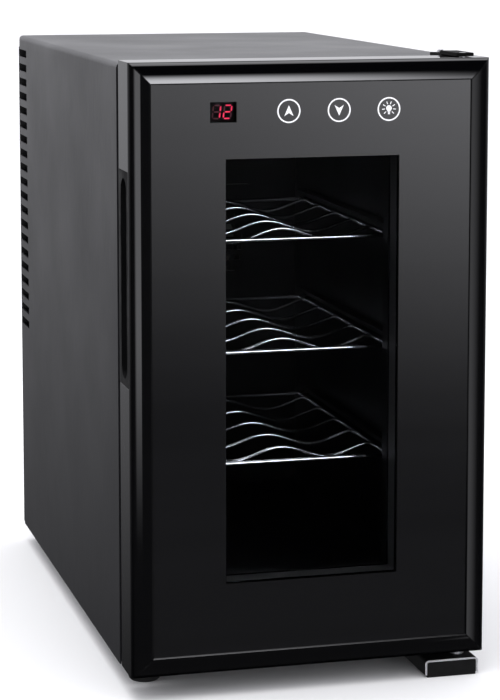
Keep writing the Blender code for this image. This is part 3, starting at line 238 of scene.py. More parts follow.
@dataclass(frozen=True)
class CoatedSheet(Finish):
    """Dark coated sheet steel with a fine drawn grain and faint handling marks."""

    colour: Point = (0.010, 0.010, 0.012)
    roughness: float = 0.36
    specular: float = 0.5
    grain: Grain = Grain.UPRIGHT
    line_scale: float = 2600.0
    cloud_scale: float = 9.0
    relief: float = 0.00002

    def lay(self, shade: Shade) -> None:
        """Lays the drawn grain, a slow cloud and the grain's relief.

        Args:
            shade: the material that gets them.
        """
        lines = shade.noise(self.line_scale, self.grain, 4.0)
        cloud = shade.noise(self.cloud_scale, Grain.EVEN, 2.0)
        shade.set(Roughness=self.roughness, Metallic=0.0, Specular_IOR_Level=self.specular)
        shade.colour(lines, dimmed(self.colour, 0.75), dimmed(self.colour, 1.5))
        mixed = shade.step("MULTIPLY", lines, cloud)
        shade.rough(shade.spread(mixed, self.roughness - 0.05, self.roughness + 0.08, 0.12, 0.4))
        shade.bump(lines, self.relief, 0.5)


@dataclass(frozen=True)
class Moulded(Finish):
    """Moulded plastic with a spark-eroded grain."""

    colour: Point = (0.018, 0.018, 0.020)
    roughness: float = 0.45
    grain_pitch: float = 0.0008
    relief: float = 0.00003
    cloud_scale: float = 14.0

    def lay(self, shade: Shade) -> None:
        """Lays the grain's relief, a slow change in gloss and a slight change in colour.

        Args:
            shade: the material that gets them.
        """
        fine = shade.noise(1.0 / self.grain_pitch, Grain.EVEN, 2.0)
        cloud = shade.noise(self.cloud_scale, Grain.EVEN, 3.0)
        shade.set(Roughness=self.roughness)
        shade.colour(cloud, dimmed(self.colour, 0.85), dimmed(self.colour, 1.2))
        shade.rough(shade.spread(cloud, self.roughness - 0.05, self.roughness + 0.06))
        shade.bump(fine, self.relief, 0.6)


@dataclass(frozen=True)
class Lacquer(Finish):
    """Smooth black lacquer with faint wipe marks and a trace of orange peel."""

    colour: Point = (0.003, 0.003, 0.0035)
    roughness: float = 0.12
    specular: float = 0.5
    wipe_scale: float = 55.0
    peel_scale: float = 420.0
    peel_relief: float = 0.000002

    def lay(self, shade: Shade) -> None:
        """Lays the wipe marks in the gloss and a very low peel.

        Args:
            shade: the material that gets them.
        """
        wiped = shade.noise(self.wipe_scale, Grain.SIDEWAYS, 4.0)
        peel = shade.noise(self.peel_scale, Grain.EVEN, 1.0)
        shade.set(Roughness=self.roughness, Specular_IOR_Level=self.specular)
        shade.colour(wiped, self.colour, dimmed(self.colour, 1.4))
        shade.rough(shade.spread(wiped, self.roughness * 0.8, self.roughness * 1.3))
        shade.bump(peel, self.peel_relief, 0.1)


@dataclass(frozen=True)
class Metal(Finish):
    """Bare, plated or drawn metal."""

    colour: Point = (0.62, 0.62, 0.64)
    roughness: float = 0.25
    grain: Grain = Grain.EVEN
    grain_scale: float = 700.0
    tarnish_scale: float = 60.0
    relief: float = 0.00001

    def lay(self, shade: Shade) -> None:
        """Lays the drawn lines, a slow tarnish and the lines' relief.

        Args:
            shade: the material that gets them.
        """
        lines = shade.noise(self.grain_scale, self.grain, 4.0)
        tarnish = shade.noise(self.tarnish_scale, Grain.EVEN, 3.0)
        shade.set(Metallic=1.0, Roughness=self.roughness)
        shade.colour(tarnish, dimmed(self.colour, 0.88), self.colour)
        shade.rough(shade.spread(lines, self.roughness * 0.8, self.roughness * 1.25))
        shade.bump(lines, self.relief, 0.3)


@dataclass(frozen=True)
class EdgedSteel(Finish):
    """Folded sheet, painted black on its faces, with bright edges where it was cut across Y."""

    paint: Point = (0.0025, 0.0025, 0.0028)
    bare: Point = (0.78, 0.78, 0.80)
    painted_roughness: float = 0.75
    bare_roughness: float = 0.5
    scuff_scale: float = 900.0
    scuff_share: float = 0.12
    relief: float = 0.00001

    def lay(self, shade: Shade) -> None:
        """Lays bright metal where the face looks along Y and paint everywhere else.

        Args:
            shade: the material that gets them.
        """
        normal = shade.add("ShaderNodeTexCoord").outputs["Normal"]
        along = shade.add("ShaderNodeSeparateXYZ", {0: normal}).outputs[1]
        facing = shade.step("ABSOLUTE", along)
        scuffs = shade.noise(self.scuff_scale, Grain.EVEN, 4.0)
        worn = shade.step("MULTIPLY_ADD", scuffs, self.scuff_share, facing)
        edge = shade.spread(worn, 0.0, 1.0, 0.72, 0.8)
        shade.colour(edge, self.paint, self.bare)
        shade.tree.links.new(edge, shade.shader.inputs["Metallic"])
        shade.rough(shade.spread(edge, self.painted_roughness, self.bare_roughness, 0.0, 1.0))
        shade.bump(scuffs, self.relief, 0.3)


@dataclass(frozen=True)
class Pane(Finish):
    """Coated glass that hardly mirrors, with faint wipe marks."""

    colour: Point = (0.94, 0.95, 0.96)
    bend: float = 1.05
    roughness: float = 0.004
    mark_scale: float = 38.0

    def lay(self, shade: Shade) -> None:
        """Lays clear transmission, with wipe marks in the gloss only.

        Args:
            shade: the material that gets them.
        """
        marks = shade.noise(self.mark_scale, Grain.UPRIGHT, 3.0)
        shade.set(Base_Color=(*self.colour, 1.0), Transmission_Weight=1.0, IOR=self.bend)
        shade.rough(shade.spread(marks, self.roughness * 0.5, self.roughness * 1.5))


@dataclass(frozen=True)
class Frosted(Finish):
    """Milky plastic that scatters light."""

    colour: Point = (0.80, 0.82, 0.84)
    roughness: float = 0.45
    clearness: float = 0.6
    bend: float = 1.45
    rib_scale: float = 900.0
    rib_relief: float = 0.00005

    def lay(self, shade: Shade) -> None:
        """Lays part transmission under a prismatic relief.

        Args:
            shade: the material that gets them.
        """
        ribs = shade.noise(self.rib_scale, Grain.LENGTHWISE, 2.0)
        shade.set(Transmission_Weight=self.clearness, IOR=self.bend)
        shade.colour(ribs, dimmed(self.colour, 0.9), self.colour)
        shade.rough(shade.spread(ribs, self.roughness - 0.1, self.roughness + 0.1))
        shade.bump(ribs, self.rib_relief, 0.5)


@dataclass(frozen=True)
class Paper(Finish):
    """Plain pale paper with a barely visible unevenness."""

    colour: Point = (0.86, 0.86, 0.86)
    cloud_scale: float = 0.5

    def lay(self, shade: Shade) -> None:
        """Lays a very wide and faint cloud.

        Args:
            shade: the material that gets them.
        """
        cloud = shade.noise(self.cloud_scale, Grain.EVEN, 1.0)
        shade.colour(cloud, dimmed(self.colour, 0.985), self.colour)
        shade.set(Roughness=0.95, Specular_IOR_Level=0.0)


@dataclass(frozen=True)
class Elastomer(Finish):
    """Matt black rubber or soft vinyl with a dusty bloom."""

    colour: Point = (0.016, 0.016, 0.016)
    roughness: float = 0.72
    bloom_scale: float = 120.0
    pit_scale: float = 2200.0
    pit_relief: float = 0.00004

    def lay(self, shade: Shade) -> None:
        """Lays the bloom and a fine pitted relief.

        Args:
            shade: the material that gets them.
        """
        bloom = shade.noise(self.bloom_scale, Grain.EVEN, 4.0)
        pits = shade.noise(self.pit_scale, Grain.EVEN, 2.0)
        shade.colour(bloom, self.colour, dimmed(self.colour, 1.7))
        shade.rough(shade.spread(bloom, self.roughness - 0.08, self.roughness + 0.08))
        shade.bump(pits, self.pit_relief, 0.5)


@dataclass(frozen=True)
class Cellular(Finish):
    """Rigid foam with open cells at its cut faces."""

    colour: Point = (0.74, 0.66, 0.42)
    cell_scale: float = 420.0
    cell_relief: float = 0.0004

    def lay(self, shade: Shade) -> None:
        """Lays the cells' relief, and their colour darkened towards the bottom of each pit as painted
        shade.

        Args:
            shade: the material that gets them.
        """
        cells = shade.cells(self.cell_scale)
        # painted shade: the colour is darker where the cells' relief is lowest, in the pits
        shade.colour(cells, dimmed(self.colour, 0.7), self.colour)
        shade.set(Roughness=0.92)
        shade.bump(cells, self.cell_relief, 0.7)


@dataclass(frozen=True)
class Lit(Finish):
    """A printed or lit mark: its own colour and some light of its own, which is real light on the lit
    digits and a painted glow on the printed icons and the unlit bars.
    """

    colour: Point = (0.85, 0.86, 0.88)
    strength: float = 0.3
    print_scale: float = 3000.0

    def lay(self, shade: Shade) -> None:
        """Lays the mark's colour with a slight printed grain, and its light, which is a painted glow where
        the mark is no lamp.

        Args:
            shade: the material that gets them.
        """
        print_grain = shade.noise(self.print_scale, Grain.EVEN, 1.0)
        shade.colour(print_grain, dimmed(self.colour, 0.92), self.colour)
        shade.set(Roughness=0.5, Emission_Color=(*self.colour, 1.0), Emission_Strength=self.strength)


@dataclass(frozen=True)
class PrintedBoard(Finish):
    """Circuit board: solder mask over fine tracks."""

    mask: Point = (0.02, 0.14, 0.06)
    track: Point = (0.05, 0.26, 0.12)
    track_scale: float = 240.0
    gloss_scale: float = 300.0
    relief: float = 0.00004

    def lay(self, shade: Shade) -> None:
        """Lays tracks as a fine block pattern under the mask's gloss.

        Args:
            shade: the material that gets them.
        """
        mask = (*self.mask, 1.0)
        bricks = shade.add("ShaderNodeTexBrick", {
            "Vector": shade.where, "Scale": self.track_scale, "Color1": mask, "Color2": mask,
            "Mortar": (*self.track, 1.0)})
        shade.tree.links.new(bricks.outputs["Color"], shade.shader.inputs["Base Color"])
        shade.rough(shade.spread(shade.noise(self.gloss_scale), 0.3, 0.45))
        shade.bump(bricks.outputs["Fac"], self.relief, 0.4)


CABINET_COAT = CoatedSheet("cabinet_coat")
HINGE_COAT = CoatedSheet("hinge_coat", (0.003, 0.003, 0.003), 0.75, 0.2, Grain.LENGTHWISE)
DOOR_LACQUER = Lacquer("door_lacquer", (0.0008, 0.0008, 0.0010), 0.035)
MASK_PRINT = Lacquer("mask_print", (0.0030, 0.0030, 0.0034), 0.03, 1.0)
DISPLAY_WINDOW = Lacquer("display_window", (0.0015, 0.0015, 0.0015), 0.3, 0.05)
PULL_PLASTIC = Lacquer("pull_plastic", (0.002, 0.002, 0.0025), 0.6, 0.2)
LINER_PLASTIC = Moulded("liner_plastic", (0.0035, 0.0040, 0.0075), 0.34, 0.0012, 0.00002)
COVER_PLASTIC = Moulded("cover_plastic", (0.014, 0.014, 0.015), 0.5, 0.0011, 0.00006)
FAN_PLASTIC = Moulded("fan_plastic", (0.011, 0.011, 0.012), 0.4, 0.0006)
SPACER_PLASTIC = Moulded("spacer_plastic", (0.05, 0.05, 0.053), 0.35, 0.0010)
PANEL_PLASTIC = Moulded("panel_plastic", (0.006, 0.006, 0.008), 0.38, 0.0010)
CASE_PLASTIC = Moulded("case_plastic", (0.03, 0.03, 0.032), 0.5, 0.0010)
BRIGHT_WIRE = Metal("bright_wire", (0.86, 0.87, 0.90), 0.12, Grain.SIDEWAYS, 900.0)
ZINC = Metal("zinc", (0.66, 0.66, 0.68), 0.28, Grain.EVEN, 900.0)
PIN_STEEL = Metal("pin_steel", (0.82, 0.82, 0.84), 0.45, Grain.UPRIGHT, 1500.0)
PLATE_STEEL = Metal("plate_steel", (0.55, 0.56, 0.58), 0.38, Grain.UPRIGHT, 800.0)
FIN_ALLOY = Metal("fin_alloy", (0.74, 0.75, 0.77), 0.34, Grain.UPRIGHT, 1200.0)
CONTACT_BRASS = Metal("contact_metal", (0.78, 0.72, 0.52), 0.25, Grain.LENGTHWISE, 900.0)
BRACKET_STEEL = EdgedSteel("bracket_steel")
STUDIO_PAPER = Paper("studio_paper")
OUTER_PANE = Pane("outer_pane")
INNER_PANE = Pane("inner_pane", (0.90, 0.91, 0.93))
LENS_PLASTIC = Frosted("lens_plastic")
SEAL_VINYL = Elastomer("seal_vinyl", (0.012, 0.012, 0.013), 0.6)
FOOT_RUBBER = Elastomer("foot_rubber", (0.005, 0.005, 0.005), 0.8)
BLOCK_RUBBER = Elastomer("block_rubber", (0.0022, 0.0022, 0.0022), 0.8)
RIGID_FOAM = Cellular("rigid_foam")
WHITE_CERAMIC = Moulded("white_ceramic", (0.78, 0.78, 0.75), 0.5, 0.0004)
BOARD = PrintedBoard("board")
# the printed icons glow a little: a painted glow, since the print is no lamp
ICON_PRINT_PAINTED_GLOW = Lit("icon_print_painted_glow", (0.80, 0.80, 0.82), 0.2)
DIGIT_LIT = Lit("digit_lit", (0.75, 0.025, 0.085), 0.9)
# the unlit bars glow faintly: a painted glow, since unlit segments give no light
DIGIT_DIM_PAINTED_GLOW = Lit("digit_dim_painted_glow", (0.08, 0.010, 0.022), 0.3)


# --- meshes --------------------------------------------------------------------------------------

class Maker:
    """Collects closed shapes into one mesh."""

    def __init__(self) -> None:
        """Starts empty."""
        self.mesh = bmesh.new()

    def block(self, low: Point, high: Point, turn: Matrix | None = None) -> None:
        """Adds a box between two corners.

        Args:
            low: lowest corner.
            high: highest corner.
            turn: a further placement, if any.
        """
        low, high = Vector(low), Vector(high)
        place = Matrix.Translation((low + high) / 2) @ Matrix.Diagonal((*(high - low), 1.0))
        bmesh.ops.create_cube(self.mesh, size=1.0, matrix=(turn @ place) if turn else place)

    def rings(self, loops: Sequence[Sequence[Point]], closed: bool = False) -> None:
        """Skins a row of loops with the same count of points.

        Args:
            loops: the loops, in order.
            closed: whether the last loop meets the first. Otherwise both ends are capped.
        """
        made = [[self.mesh.verts.new(point) for point in loop] for loop in loops]
        pairs = list(zip(made, made[1:] + made[:1])) if closed else list(zip(made, made[1:]))
        count = len(made[0])
        for near, far in pairs:
            for i in range(count):
                j = (i + 1) % count
                self.mesh.faces.new((near[i], near[j], far[j], far[i]))
        if not closed:
            caps = [self.mesh.faces.new(made[0][::-1]), self.mesh.faces.new(made[-1])]
            bmesh.ops.triangulate(self.mesh, faces=[cap for cap in caps if len(cap.verts) > 4])

    def prism(self, outline: Outline, axis: int, start: float, end: float) -> None:
        """Extrudes an outline of the other two axes along one axis."""
        self.rings([[self.along(point, axis, level) for point in outline] for level in (start, end)])

    @staticmethod
    def along(point: Point, axis: int, level: float) -> list[float]:
        """A point of two values with a level put in as the given axis.

        Args:
            point: the two values.
            axis: where the level goes: 0, 1 or 2.
            level: the level.

        Returns:
            The three values.
        """
        values = list(point)
        values.insert(axis, level)
        return values

    def turned(self, profile: Outline, centre: Point, axis: int, sides: int = 48) -> None:
        """Turns a closed profile of (radius, level) about an axis.

        Args:
            profile: radius and level of each corner. Radii of zero are poles.
            centre: a point on the axis.
            axis: 0, 1 or 2.
            sides: steps in the turn.
        """
        across = [index for index in range(3) if index != axis]
        rings = []
        for radius, level in profile:
            ring = []
            for step in range(1 if radius == 0 else sides):
                angle = 2 * math.pi * step / sides
                point = list(centre)
                point[across[0]] += radius * math.cos(angle)
                point[across[1]] += radius * math.sin(angle)
                point[axis] += level
                ring.append(self.mesh.verts.new(point))
            rings.append(ring)
        follows = rings[1:] if profile[0][0] == 0 else rings[1:] + rings[:1]
        for near, far in zip(rings, follows):
            for step in range(sides):
                after = (step + 1) % sides
                corners = [near[step % len(near)], near[after % len(near)], far[after % len(far)],
                           far[step % len(far)]]
                unique = list(dict.fromkeys(corners))
                if len(unique) > 2:
                    self.mesh.faces.new(unique)

    def piece(self, name: str, finish: Finish, sharp: float | None = SMOOTH_UNDER,
              bevel: float = 0.0) -> bpy.types.Object:
        """Makes the mesh an object with its faces pointing out.

        Args:
            name: the piece's name.
            finish: its finish.
            sharp: edges over this many degrees stay sharp. None leaves every face flat.
            bevel: width of a small rounding on the sharp edges.

        Returns:
            The new object.
        """
        bmesh.ops.remove_doubles(self.mesh, verts=self.mesh.verts[:], dist=1e-7)
        bmesh.ops.recalc_face_normals(self.mesh, faces=self.mesh.faces[:])
        mesh = bpy.data.meshes.new(name)
        self.mesh.to_mesh(mesh)
        self.mesh.free()
        return finished(name, mesh, finish, sharp, bevel)


def finished(name: str, mesh: bpy.types.Mesh, finish: Finish, sharp: float | None = SMOOTH_UNDER,
             bevel: float = 0.0) -> bpy.types.Object:
    """Links a mesh as a piece, shades it and gives it its finish.

    Args:
        name: the piece's name.
        mesh: its mesh.
        finish: its finish.
        sharp: edges over this many degrees stay sharp. None leaves every face flat.
        bevel: width of a small rounding on the sharp edges.

    Returns:
        The new object.
    """
    mesh.materials.clear()
    mesh.materials.append(finish.material())
    piece = bpy.data.objects.new(name, mesh)
    bpy.context.scene.collection.objects.link(piece)
    if sharp is not None:
        mesh.shade_smooth()
        mesh.set_sharp_from_angle(angle=math.radians(sharp))
    if bevel:
        rounding = piece.modifiers.new("rounding", "BEVEL")
        rounding.width = bevel
        rounding.segments = 3
        rounding.limit_method = "ANGLE"
        rounding.angle_limit = math.radians(SMOOTH_UNDER)
    if sharp is not None:
        weighted = piece.modifiers.new("weighted", "WEIGHTED_NORMAL")
        weighted.keep_sharp = True
    return piece


def settled(piece: bpy.types.Object) -> bpy.types.Object:
    """Applies a piece's modifiers, so that its mesh is final.

    Args:
        piece: the piece.

    Returns:
        The same piece.
    """
    graph = bpy.context.evaluated_depsgraph_get()
    mesh = bpy.data.meshes.new_from_object(piece.evaluated_get(graph))
    piece.modifiers.clear()
    piece.data = mesh
    return piece


def carved(piece: bpy.types.Object, low: Point, high: Point) -> bpy.types.Object:
    """Cuts a box out of a piece.

    Args:
        piece: the piece.
        low: the box's lowest corner.
        high: its highest corner.

    Returns:
        The same piece.
    """
    maker = Maker()
    maker.block(low, high)
    cutter = maker.piece(piece.name + "_cutter", PULL_PLASTIC, None)
    cut = piece.modifiers.new("cut", "BOOLEAN")
    cut.operation = "DIFFERENCE"
    cut.solver = "EXACT"
    cut.object = cutter
    piece.modifiers.move(len(piece.modifiers) - 1, 0)
    settled(piece)
    bpy.data.objects.remove(cutter, do_unlink=True)
    return piece


def arc(centre: Point, radii: Point, start: float, end: float, steps: int) -> Outline:
    """Points along part of an ellipse.

    Args:
        centre: its middle.
        radii: its two radii.
        start: first angle in degrees.
        end: last angle in degrees.
        steps: stretches between the points.

    Returns:
        The points, both ends included.
    """
    points = []
    for step in range(steps + 1):
        angle = math.radians(start + (end - start) * step / steps)
        points.append((centre[0] + radii[0] * math.cos(angle), centre[1] + radii[1] * math.sin(angle)))
    return points


def middle(node: str) -> Vector:
    """The middle of a CAD node's box."""
    low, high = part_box(node)
    return (low + high) / 2


def place_on(piece: bpy.types.Object, body: str, nodes: Iterable[str] = ()) -> None:
    """Puts a finished piece on its body and reports it.

    Args:
        piece: the piece.
        body: the CAD body that it rides on.
        nodes: the CAD nodes that it stands for.
    """
    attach(piece, body)
    for node in nodes:
        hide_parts(node)
    log.info("%s rides on %s", piece.name, body)


def dress(node: str, finish: Finish) -> None:
    """Gives a CAD node a finish and leaves its shape.

    Args:
        node: the CAD node.
        finish: its finish.
    """
    for material_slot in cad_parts[node].material_slots:
        material_slot.material = finish.material()
    log.info("%s keeps its shape", node)


def smoothed(node: str, body: str, finish: Finish,
             sharp: float = SMOOTH_UNDER) -> bpy.types.Object:
    """Stands a smooth-shaded copy of a CAD node in its place.

    Args:
        node: the CAD node.
        body: the body that it rides on.
        finish: its finish.
        sharp: edges over this many degrees stay sharp.

    Returns:
        The copy.
    """
    source = bmesh.new()
    source.from_mesh(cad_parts[node].data)
    bmesh.ops.remove_doubles(source, verts=source.verts[:], dist=1e-6)
    source.verts.index_update()
    mesh = bpy.data.meshes.new(node + "_smooth")
    mesh.from_pydata([vert.co[:] for vert in source.verts], [],
                     [[vert.index for vert in face.verts] for face in source.faces])
    source.free()
    piece = finished(node + "_smooth", mesh, finish, sharp)
    place_on(piece, body, [node])
    return piece


# --- grown pieces --------------------------------------------------------------------------------

class Growth(Nodes):
    """A Geometry Nodes tree while it is built."""

    def __init__(self, name: str) -> None:
        """Starts a tree with a geometry input and output.

        Args:
            name: the tree's name.
        """
        super().__init__(bpy.data.node_groups.new(name, "GeometryNodeTree"))
        self.tree.interface.new_socket("Geometry", in_out="INPUT", socket_type="NodeSocketGeometry")
        self.tree.interface.new_socket("Geometry", in_out="OUTPUT", socket_type="NodeSocketGeometry")
        self.entry = self.tree.nodes.new("NodeGroupInput")
        self.exit = self.tree.nodes.new("NodeGroupOutput")

    def size(self, name: str, kind: str = "NodeSocketFloat") -> Socket:
        """Adds a named input and returns its socket."""
        self.tree.interface.new_socket(name, in_out="INPUT", socket_type=kind)
        return self.entry.outputs[name]

    def vector(self, x: object = 0.0, y: object = 0.0, z: object = 0.0) -> Socket:
        """A vector from three numbers or sockets."""
        return self.add("ShaderNodeCombineXYZ", {0: x, 1: y, 2: z}).outputs[0]

    def rod(self, start: Socket, end: Socket, radius: Socket, sides: int) -> Socket:
        """A straight round bar with closed ends, between two points."""
        line = self.add("GeometryNodeCurvePrimitiveLine", {"Start": start, "End": end})
        return self.swept(line.outputs[0], radius, sides)

    def swept(self, curve: Socket, radius: Socket, sides: int) -> Socket:
        """A round bar along a curve, with closed ends.

        Args:
            curve: its middle line.
            radius: its radius.
            sides: how many sides it has.

        Returns:
            The bar.
        """
        circle = self.add("GeometryNodeCurvePrimitiveCircle", {"Resolution": sides, "Radius": radius})
        inputs = {"Curve": curve, "Profile Curve": circle.outputs[0], "Fill Caps": True}
        return self.add("GeometryNodeCurveToMesh", inputs).outputs[0]

    def row(self, shape: Socket, count: object, start: Socket, step: Socket) -> Socket:
        """Copies of a shape at even steps.

        Args:
            shape: the shape.
            count: how many there are.
            start: where the first is.
            step: from one to the next.

        Returns:
            The copies.
        """
        line = self.add("GeometryNodeMeshLine", {"Count": count, "Start Location": start, "Offset": step},
                        mode="OFFSET")
        return self.scattered(shape, line.outputs[0])

    def scattered(self, shape: Socket, points: Socket, turn: object = (0.0, 0.0, 0.0)) -> Socket:
        """Copies of a shape at points."""
        inputs = {"Points": points, "Instance": shape, "Rotation": turn}
        return self.add("GeometryNodeInstanceOnPoints", inputs).outputs[0]

    def joined(self, *shapes: Socket) -> Socket:
        """Several shapes as one.

        Args:
            *shapes: the shapes.

        Returns:
            The one shape.
        """
        node = self.tree.nodes.new("GeometryNodeJoinGeometry")
        for shape in shapes:
            self.tree.links.new(shape, node.inputs[0])
        return node.outputs[0]

    def moved(self, shape: Socket, offset: Socket) -> Socket:
        """A shape carried along a vector."""
        return self.add("GeometryNodeTransform", {"Geometry": shape, "Translation": offset}).outputs[0]

    def end(self, shape: Socket, finish: Finish) -> None:
        """Makes the shape's copies real, sets its material and ends the tree.

        Args:
            shape: the finished shape.
            finish: its finish.
        """
        real = self.add("GeometryNodeRealizeInstances", {0: shape}).outputs[0]
        coloured = self.add("GeometryNodeSetMaterial", {"Geometry": real, "Material": finish.material()})
        self.tree.links.new(coloured.outputs[0], self.exit.inputs[0])

    def grow(self, name: str, finish: Finish, sizes: Mapping[str, object],
             points: Sequence[Point] = ((0.0, 0.0, 0.0),), sharp: float = SMOOTH_UNDER) -> bpy.types.Object:
        """Runs the tree and returns its result as a plain piece.

        Args:
            name: the piece's name.
            finish: its finish.
            sizes: the tree's inputs by name.
            points: the points that the tree is given.
            sharp: edges over this many degrees stay sharp.

        Returns:
            The new object.
        """
        seeds = bpy.data.meshes.new(name + "_seeds")
        seeds.from_pydata([tuple(point) for point in points], [], [])
        carrier = bpy.data.objects.new(name + "_carrier", seeds)
        bpy.context.scene.collection.objects.link(carrier)
        modifier = carrier.modifiers.new("growth", "NODES")
        modifier.node_group = self.tree
        for item in self.tree.interface.items_tree:
            if item.in_out == "INPUT" and item.name in sizes:
                modifier[item.identifier] = sizes[item.name]
        graph = bpy.context.evaluated_depsgraph_get()
        mesh = bpy.data.meshes.new_from_object(carrier.evaluated_get(graph))
        carrier.modifiers.clear()
        bpy.data.objects.remove(carrier, do_unlink=True)
        return finished(name, mesh, finish, sharp)


# --- studio --------------------------------------------------------------------------------------

@dataclass(frozen=True)
class Span:
    """A stretch of angle in degrees, with how softly it starts and ends."""

    start: float
    end: float
    soft_start: float = 1.0
    soft_end: float = 1.0


@dataclass(frozen=True)
class Card:
    """A bright card far away, as seen from the cooler. Azimuth 0 is in front and 90 at the right."""

    azimuth: Span
    elevation: Span
    strength: float


class Sky(Nodes):
    """The surroundings' shader while its nodes are laid down."""

    def rise(self, value: Socket, start: float, end: float) -> Socket:
        """A smooth rise from 0 at start to 1 at end."""
        return self.add("ShaderNodeMapRange", {0: value, 1: start, 2: end},
                        interpolation_type="SMOOTHSTEP").outputs[0]

    def within(self, angle: Socket, span: Span) -> Socket:
        """How far an angle is inside a span, from 0 to 1.

        Args:
            angle: the angle.
            span: the span.

        Returns:
            The share.
        """
        after = self.rise(angle, span.start - span.soft_start, span.start + span.soft_start)
        past = self.rise(angle, span.end - span.soft_end, span.end + span.soft_end)
        return self.step("SUBTRACT", after, past)

    def chosen(self, when: Socket, value: float, otherwise: Socket) -> Socket:
        """A fixed brightness for one kind of ray, and another for the rest."""
        return self.add("ShaderNodeMix", {0: when, 2: otherwise, 3: value}, data_type="FLOAT").outputs[0]

    def angles(self, direction: Socket) -> tuple[Socket, Socket]:
        """Azimuth and elevation of a direction, in degrees.

        Args:
            direction: the direction.

        Returns:
            Both angles.
        """
        x, y, z = self.add("ShaderNodeSeparateXYZ", {0: direction}).outputs
        turn = math.degrees(1.0)
        azimuth = self.step("MULTIPLY", self.step("ARCTAN2", x, self.step("MULTIPLY", y, -1.0)), turn)
        return azimuth, self.step("MULTIPLY", self.step("ARCSINE", z), turn)

    def glow(self, direction: Socket, back: Point, above: Point) -> Socket:
        """A soft brightness behind the cooler, which fades towards the front and below.

        Args:
            direction: the direction.
            back: where it rises from nothing to full along Y.
            above: where it rises along Z.

        Returns:
            The brightness, from 0 to 1.
        """
        _, y, z = self.add("ShaderNodeSeparateXYZ", {0: direction}).outputs
        return self.step("MULTIPLY", self.rise(y, *back), self.rise(z, *above))


@dataclass
class Studio:
    """Floor, surroundings, lights and camera."""

    camera_at: Point = (-0.4684, -1.8346, 0.5514)
    camera_yaw: float = 14.789
    camera_pitch: float = 6.871
    lens: float = 121.58
    shift_y: float = -0.20
    sensor: float = 36.0
    clip_start: float = 0.05
    backdrop: float = 1.08
    tint: Point = (0.955, 0.955, 1.0)
    tent: float = 1.15
    horizon: float = 1.0
    horizon_back: Point = (-0.35, 0.45)
    horizon_above: Point = (-0.38, 0.20)
    overhead_energy: float = 30.0
    overhead_size: Point = (2.2, 1.8)
    overhead_at: Point = (-0.3, -0.2, 2.2)
    overhead_aim: Point = (0.0, 0.0, 0.2)
    floor_reach: float = 30.0
    floor_depth: float = 0.02
    cards: tuple[Card, ...] = (
        Card(Span(11.5, 21.0, 0.4, 0.4), Span(-6.0, 3.0, 6.5, 4.0), 1.0),
        Card(Span(16.5, 21.0, 5.0, 0.4), Span(-6.5, 3.0, 8.0, 4.0), 0.80),
        Card(Span(21.2, 37.0, 0.4, 17.0), Span(-26.0, 6.0, 4.0, 5.0), 1.05),
        Card(Span(10.0, 17.5, 1.0, 4.5), Span(-2.6, 12.0, 0.4, 9.5), 12.5),
        Card(Span(-41.0, -16.0, 8.0, 1.2), Span(-12.4, 8.0, 3.0, 6.0), 2.3),
        Card(Span(-179.0, 179.0), Span(66.0, 120.0, 4.0, 1.0), 3.4),
        Card(Span(-70.0, 70.0, 20.0, 20.0), Span(-95.0, 10.0, 1.0, 5.0), 0.06),
    )

    def floor(self) -> None:
        """A wide pale floor, hidden from gloss so that only the cards show in it."""
        maker = Maker()
        reach = self.floor_reach
        maker.block((-reach, -reach, -self.floor_depth), (reach, reach, 0.0))
        floor = maker.piece("studio_floor", STUDIO_PAPER, None)
        floor.visible_glossy = False
        floor.visible_transmission = False

    def camera(self) -> None:
        """The camera."""
        data = bpy.data.cameras.new("camera")
        data.lens = self.lens
        data.sensor_width = self.sensor
        data.sensor_fit = "AUTO"
        data.shift_y = self.shift_y
        data.clip_start = self.clip_start
        camera = bpy.data.objects.new("camera", data)
        yaw, pitch = math.radians(self.camera_yaw), math.radians(self.camera_pitch)
        forward = Vector((math.sin(yaw) * math.cos(pitch), math.cos(yaw) * math.cos(pitch),
                          -math.sin(pitch)))
        camera.location = self.camera_at
        camera.rotation_euler = forward.to_track_quat("-Z", "Y").to_euler()
        bpy.context.scene.collection.objects.link(camera)
        bpy.context.scene.camera = camera

    def surroundings(self) -> None:
        """A pale backdrop for the camera, and soft cards round the cooler for light and gloss."""
        world = bpy.data.worlds.new("studio")
        bpy.context.scene.world = world
        world.use_nodes = True
        sky = Sky(world.node_tree)
        sky.tree.nodes.clear()
        direction = sky.add("ShaderNodeTexCoord").outputs["Generated"]
        azimuth, elevation = sky.angles(direction)
        glow = sky.glow(direction, self.horizon_back, self.horizon_above)
        total = sky.step("MULTIPLY", glow, self.horizon)
        for card in self.cards:
            seen = sky.step("MULTIPLY", sky.within(azimuth, card.azimuth),
                            sky.within(elevation, card.elevation))
            total = sky.step("ADD", total, sky.step("MULTIPLY", seen, card.strength))
        path = sky.add("ShaderNodeLightPath").outputs
        total = sky.chosen(path["Is Diffuse Ray"], self.tent, total)
        total = sky.chosen(path["Is Camera Ray"], self.backdrop, total)
        light = sky.add("ShaderNodeBackground", {"Color": (*self.tint, 1.0), "Strength": total})
        sky.add("ShaderNodeOutputWorld", {"Surface": light.outputs[0]})

    def lights(self) -> None:
        """A large soft lamp overhead for the shadow under the cooler."""
        data = bpy.data.lights.new("overhead", "AREA")
        data.shape = "RECTANGLE"
        data.size, data.size_y = self.overhead_size
        data.energy = self.overhead_energy
        lamp = bpy.data.objects.new("overhead", data)
        lamp.location = self.overhead_at
        aim = Vector(self.overhead_aim) - lamp.location
        lamp.rotation_euler = aim.to_track_quat("-Z", "Y").to_euler()
        lamp.visible_camera = False
        lamp.visible_glossy = False
        bpy.context.scene.collection.objects.link(lamp)

    def build(self) -> None:
        """Sets up the whole studio."""
        self.floor()
        self.camera()
        self.surroundings()
        self.lights()
        bpy.context.scene.view_settings.view_transform = "Standard"


# --- cabinet -------------------------------------------------------------------------------------

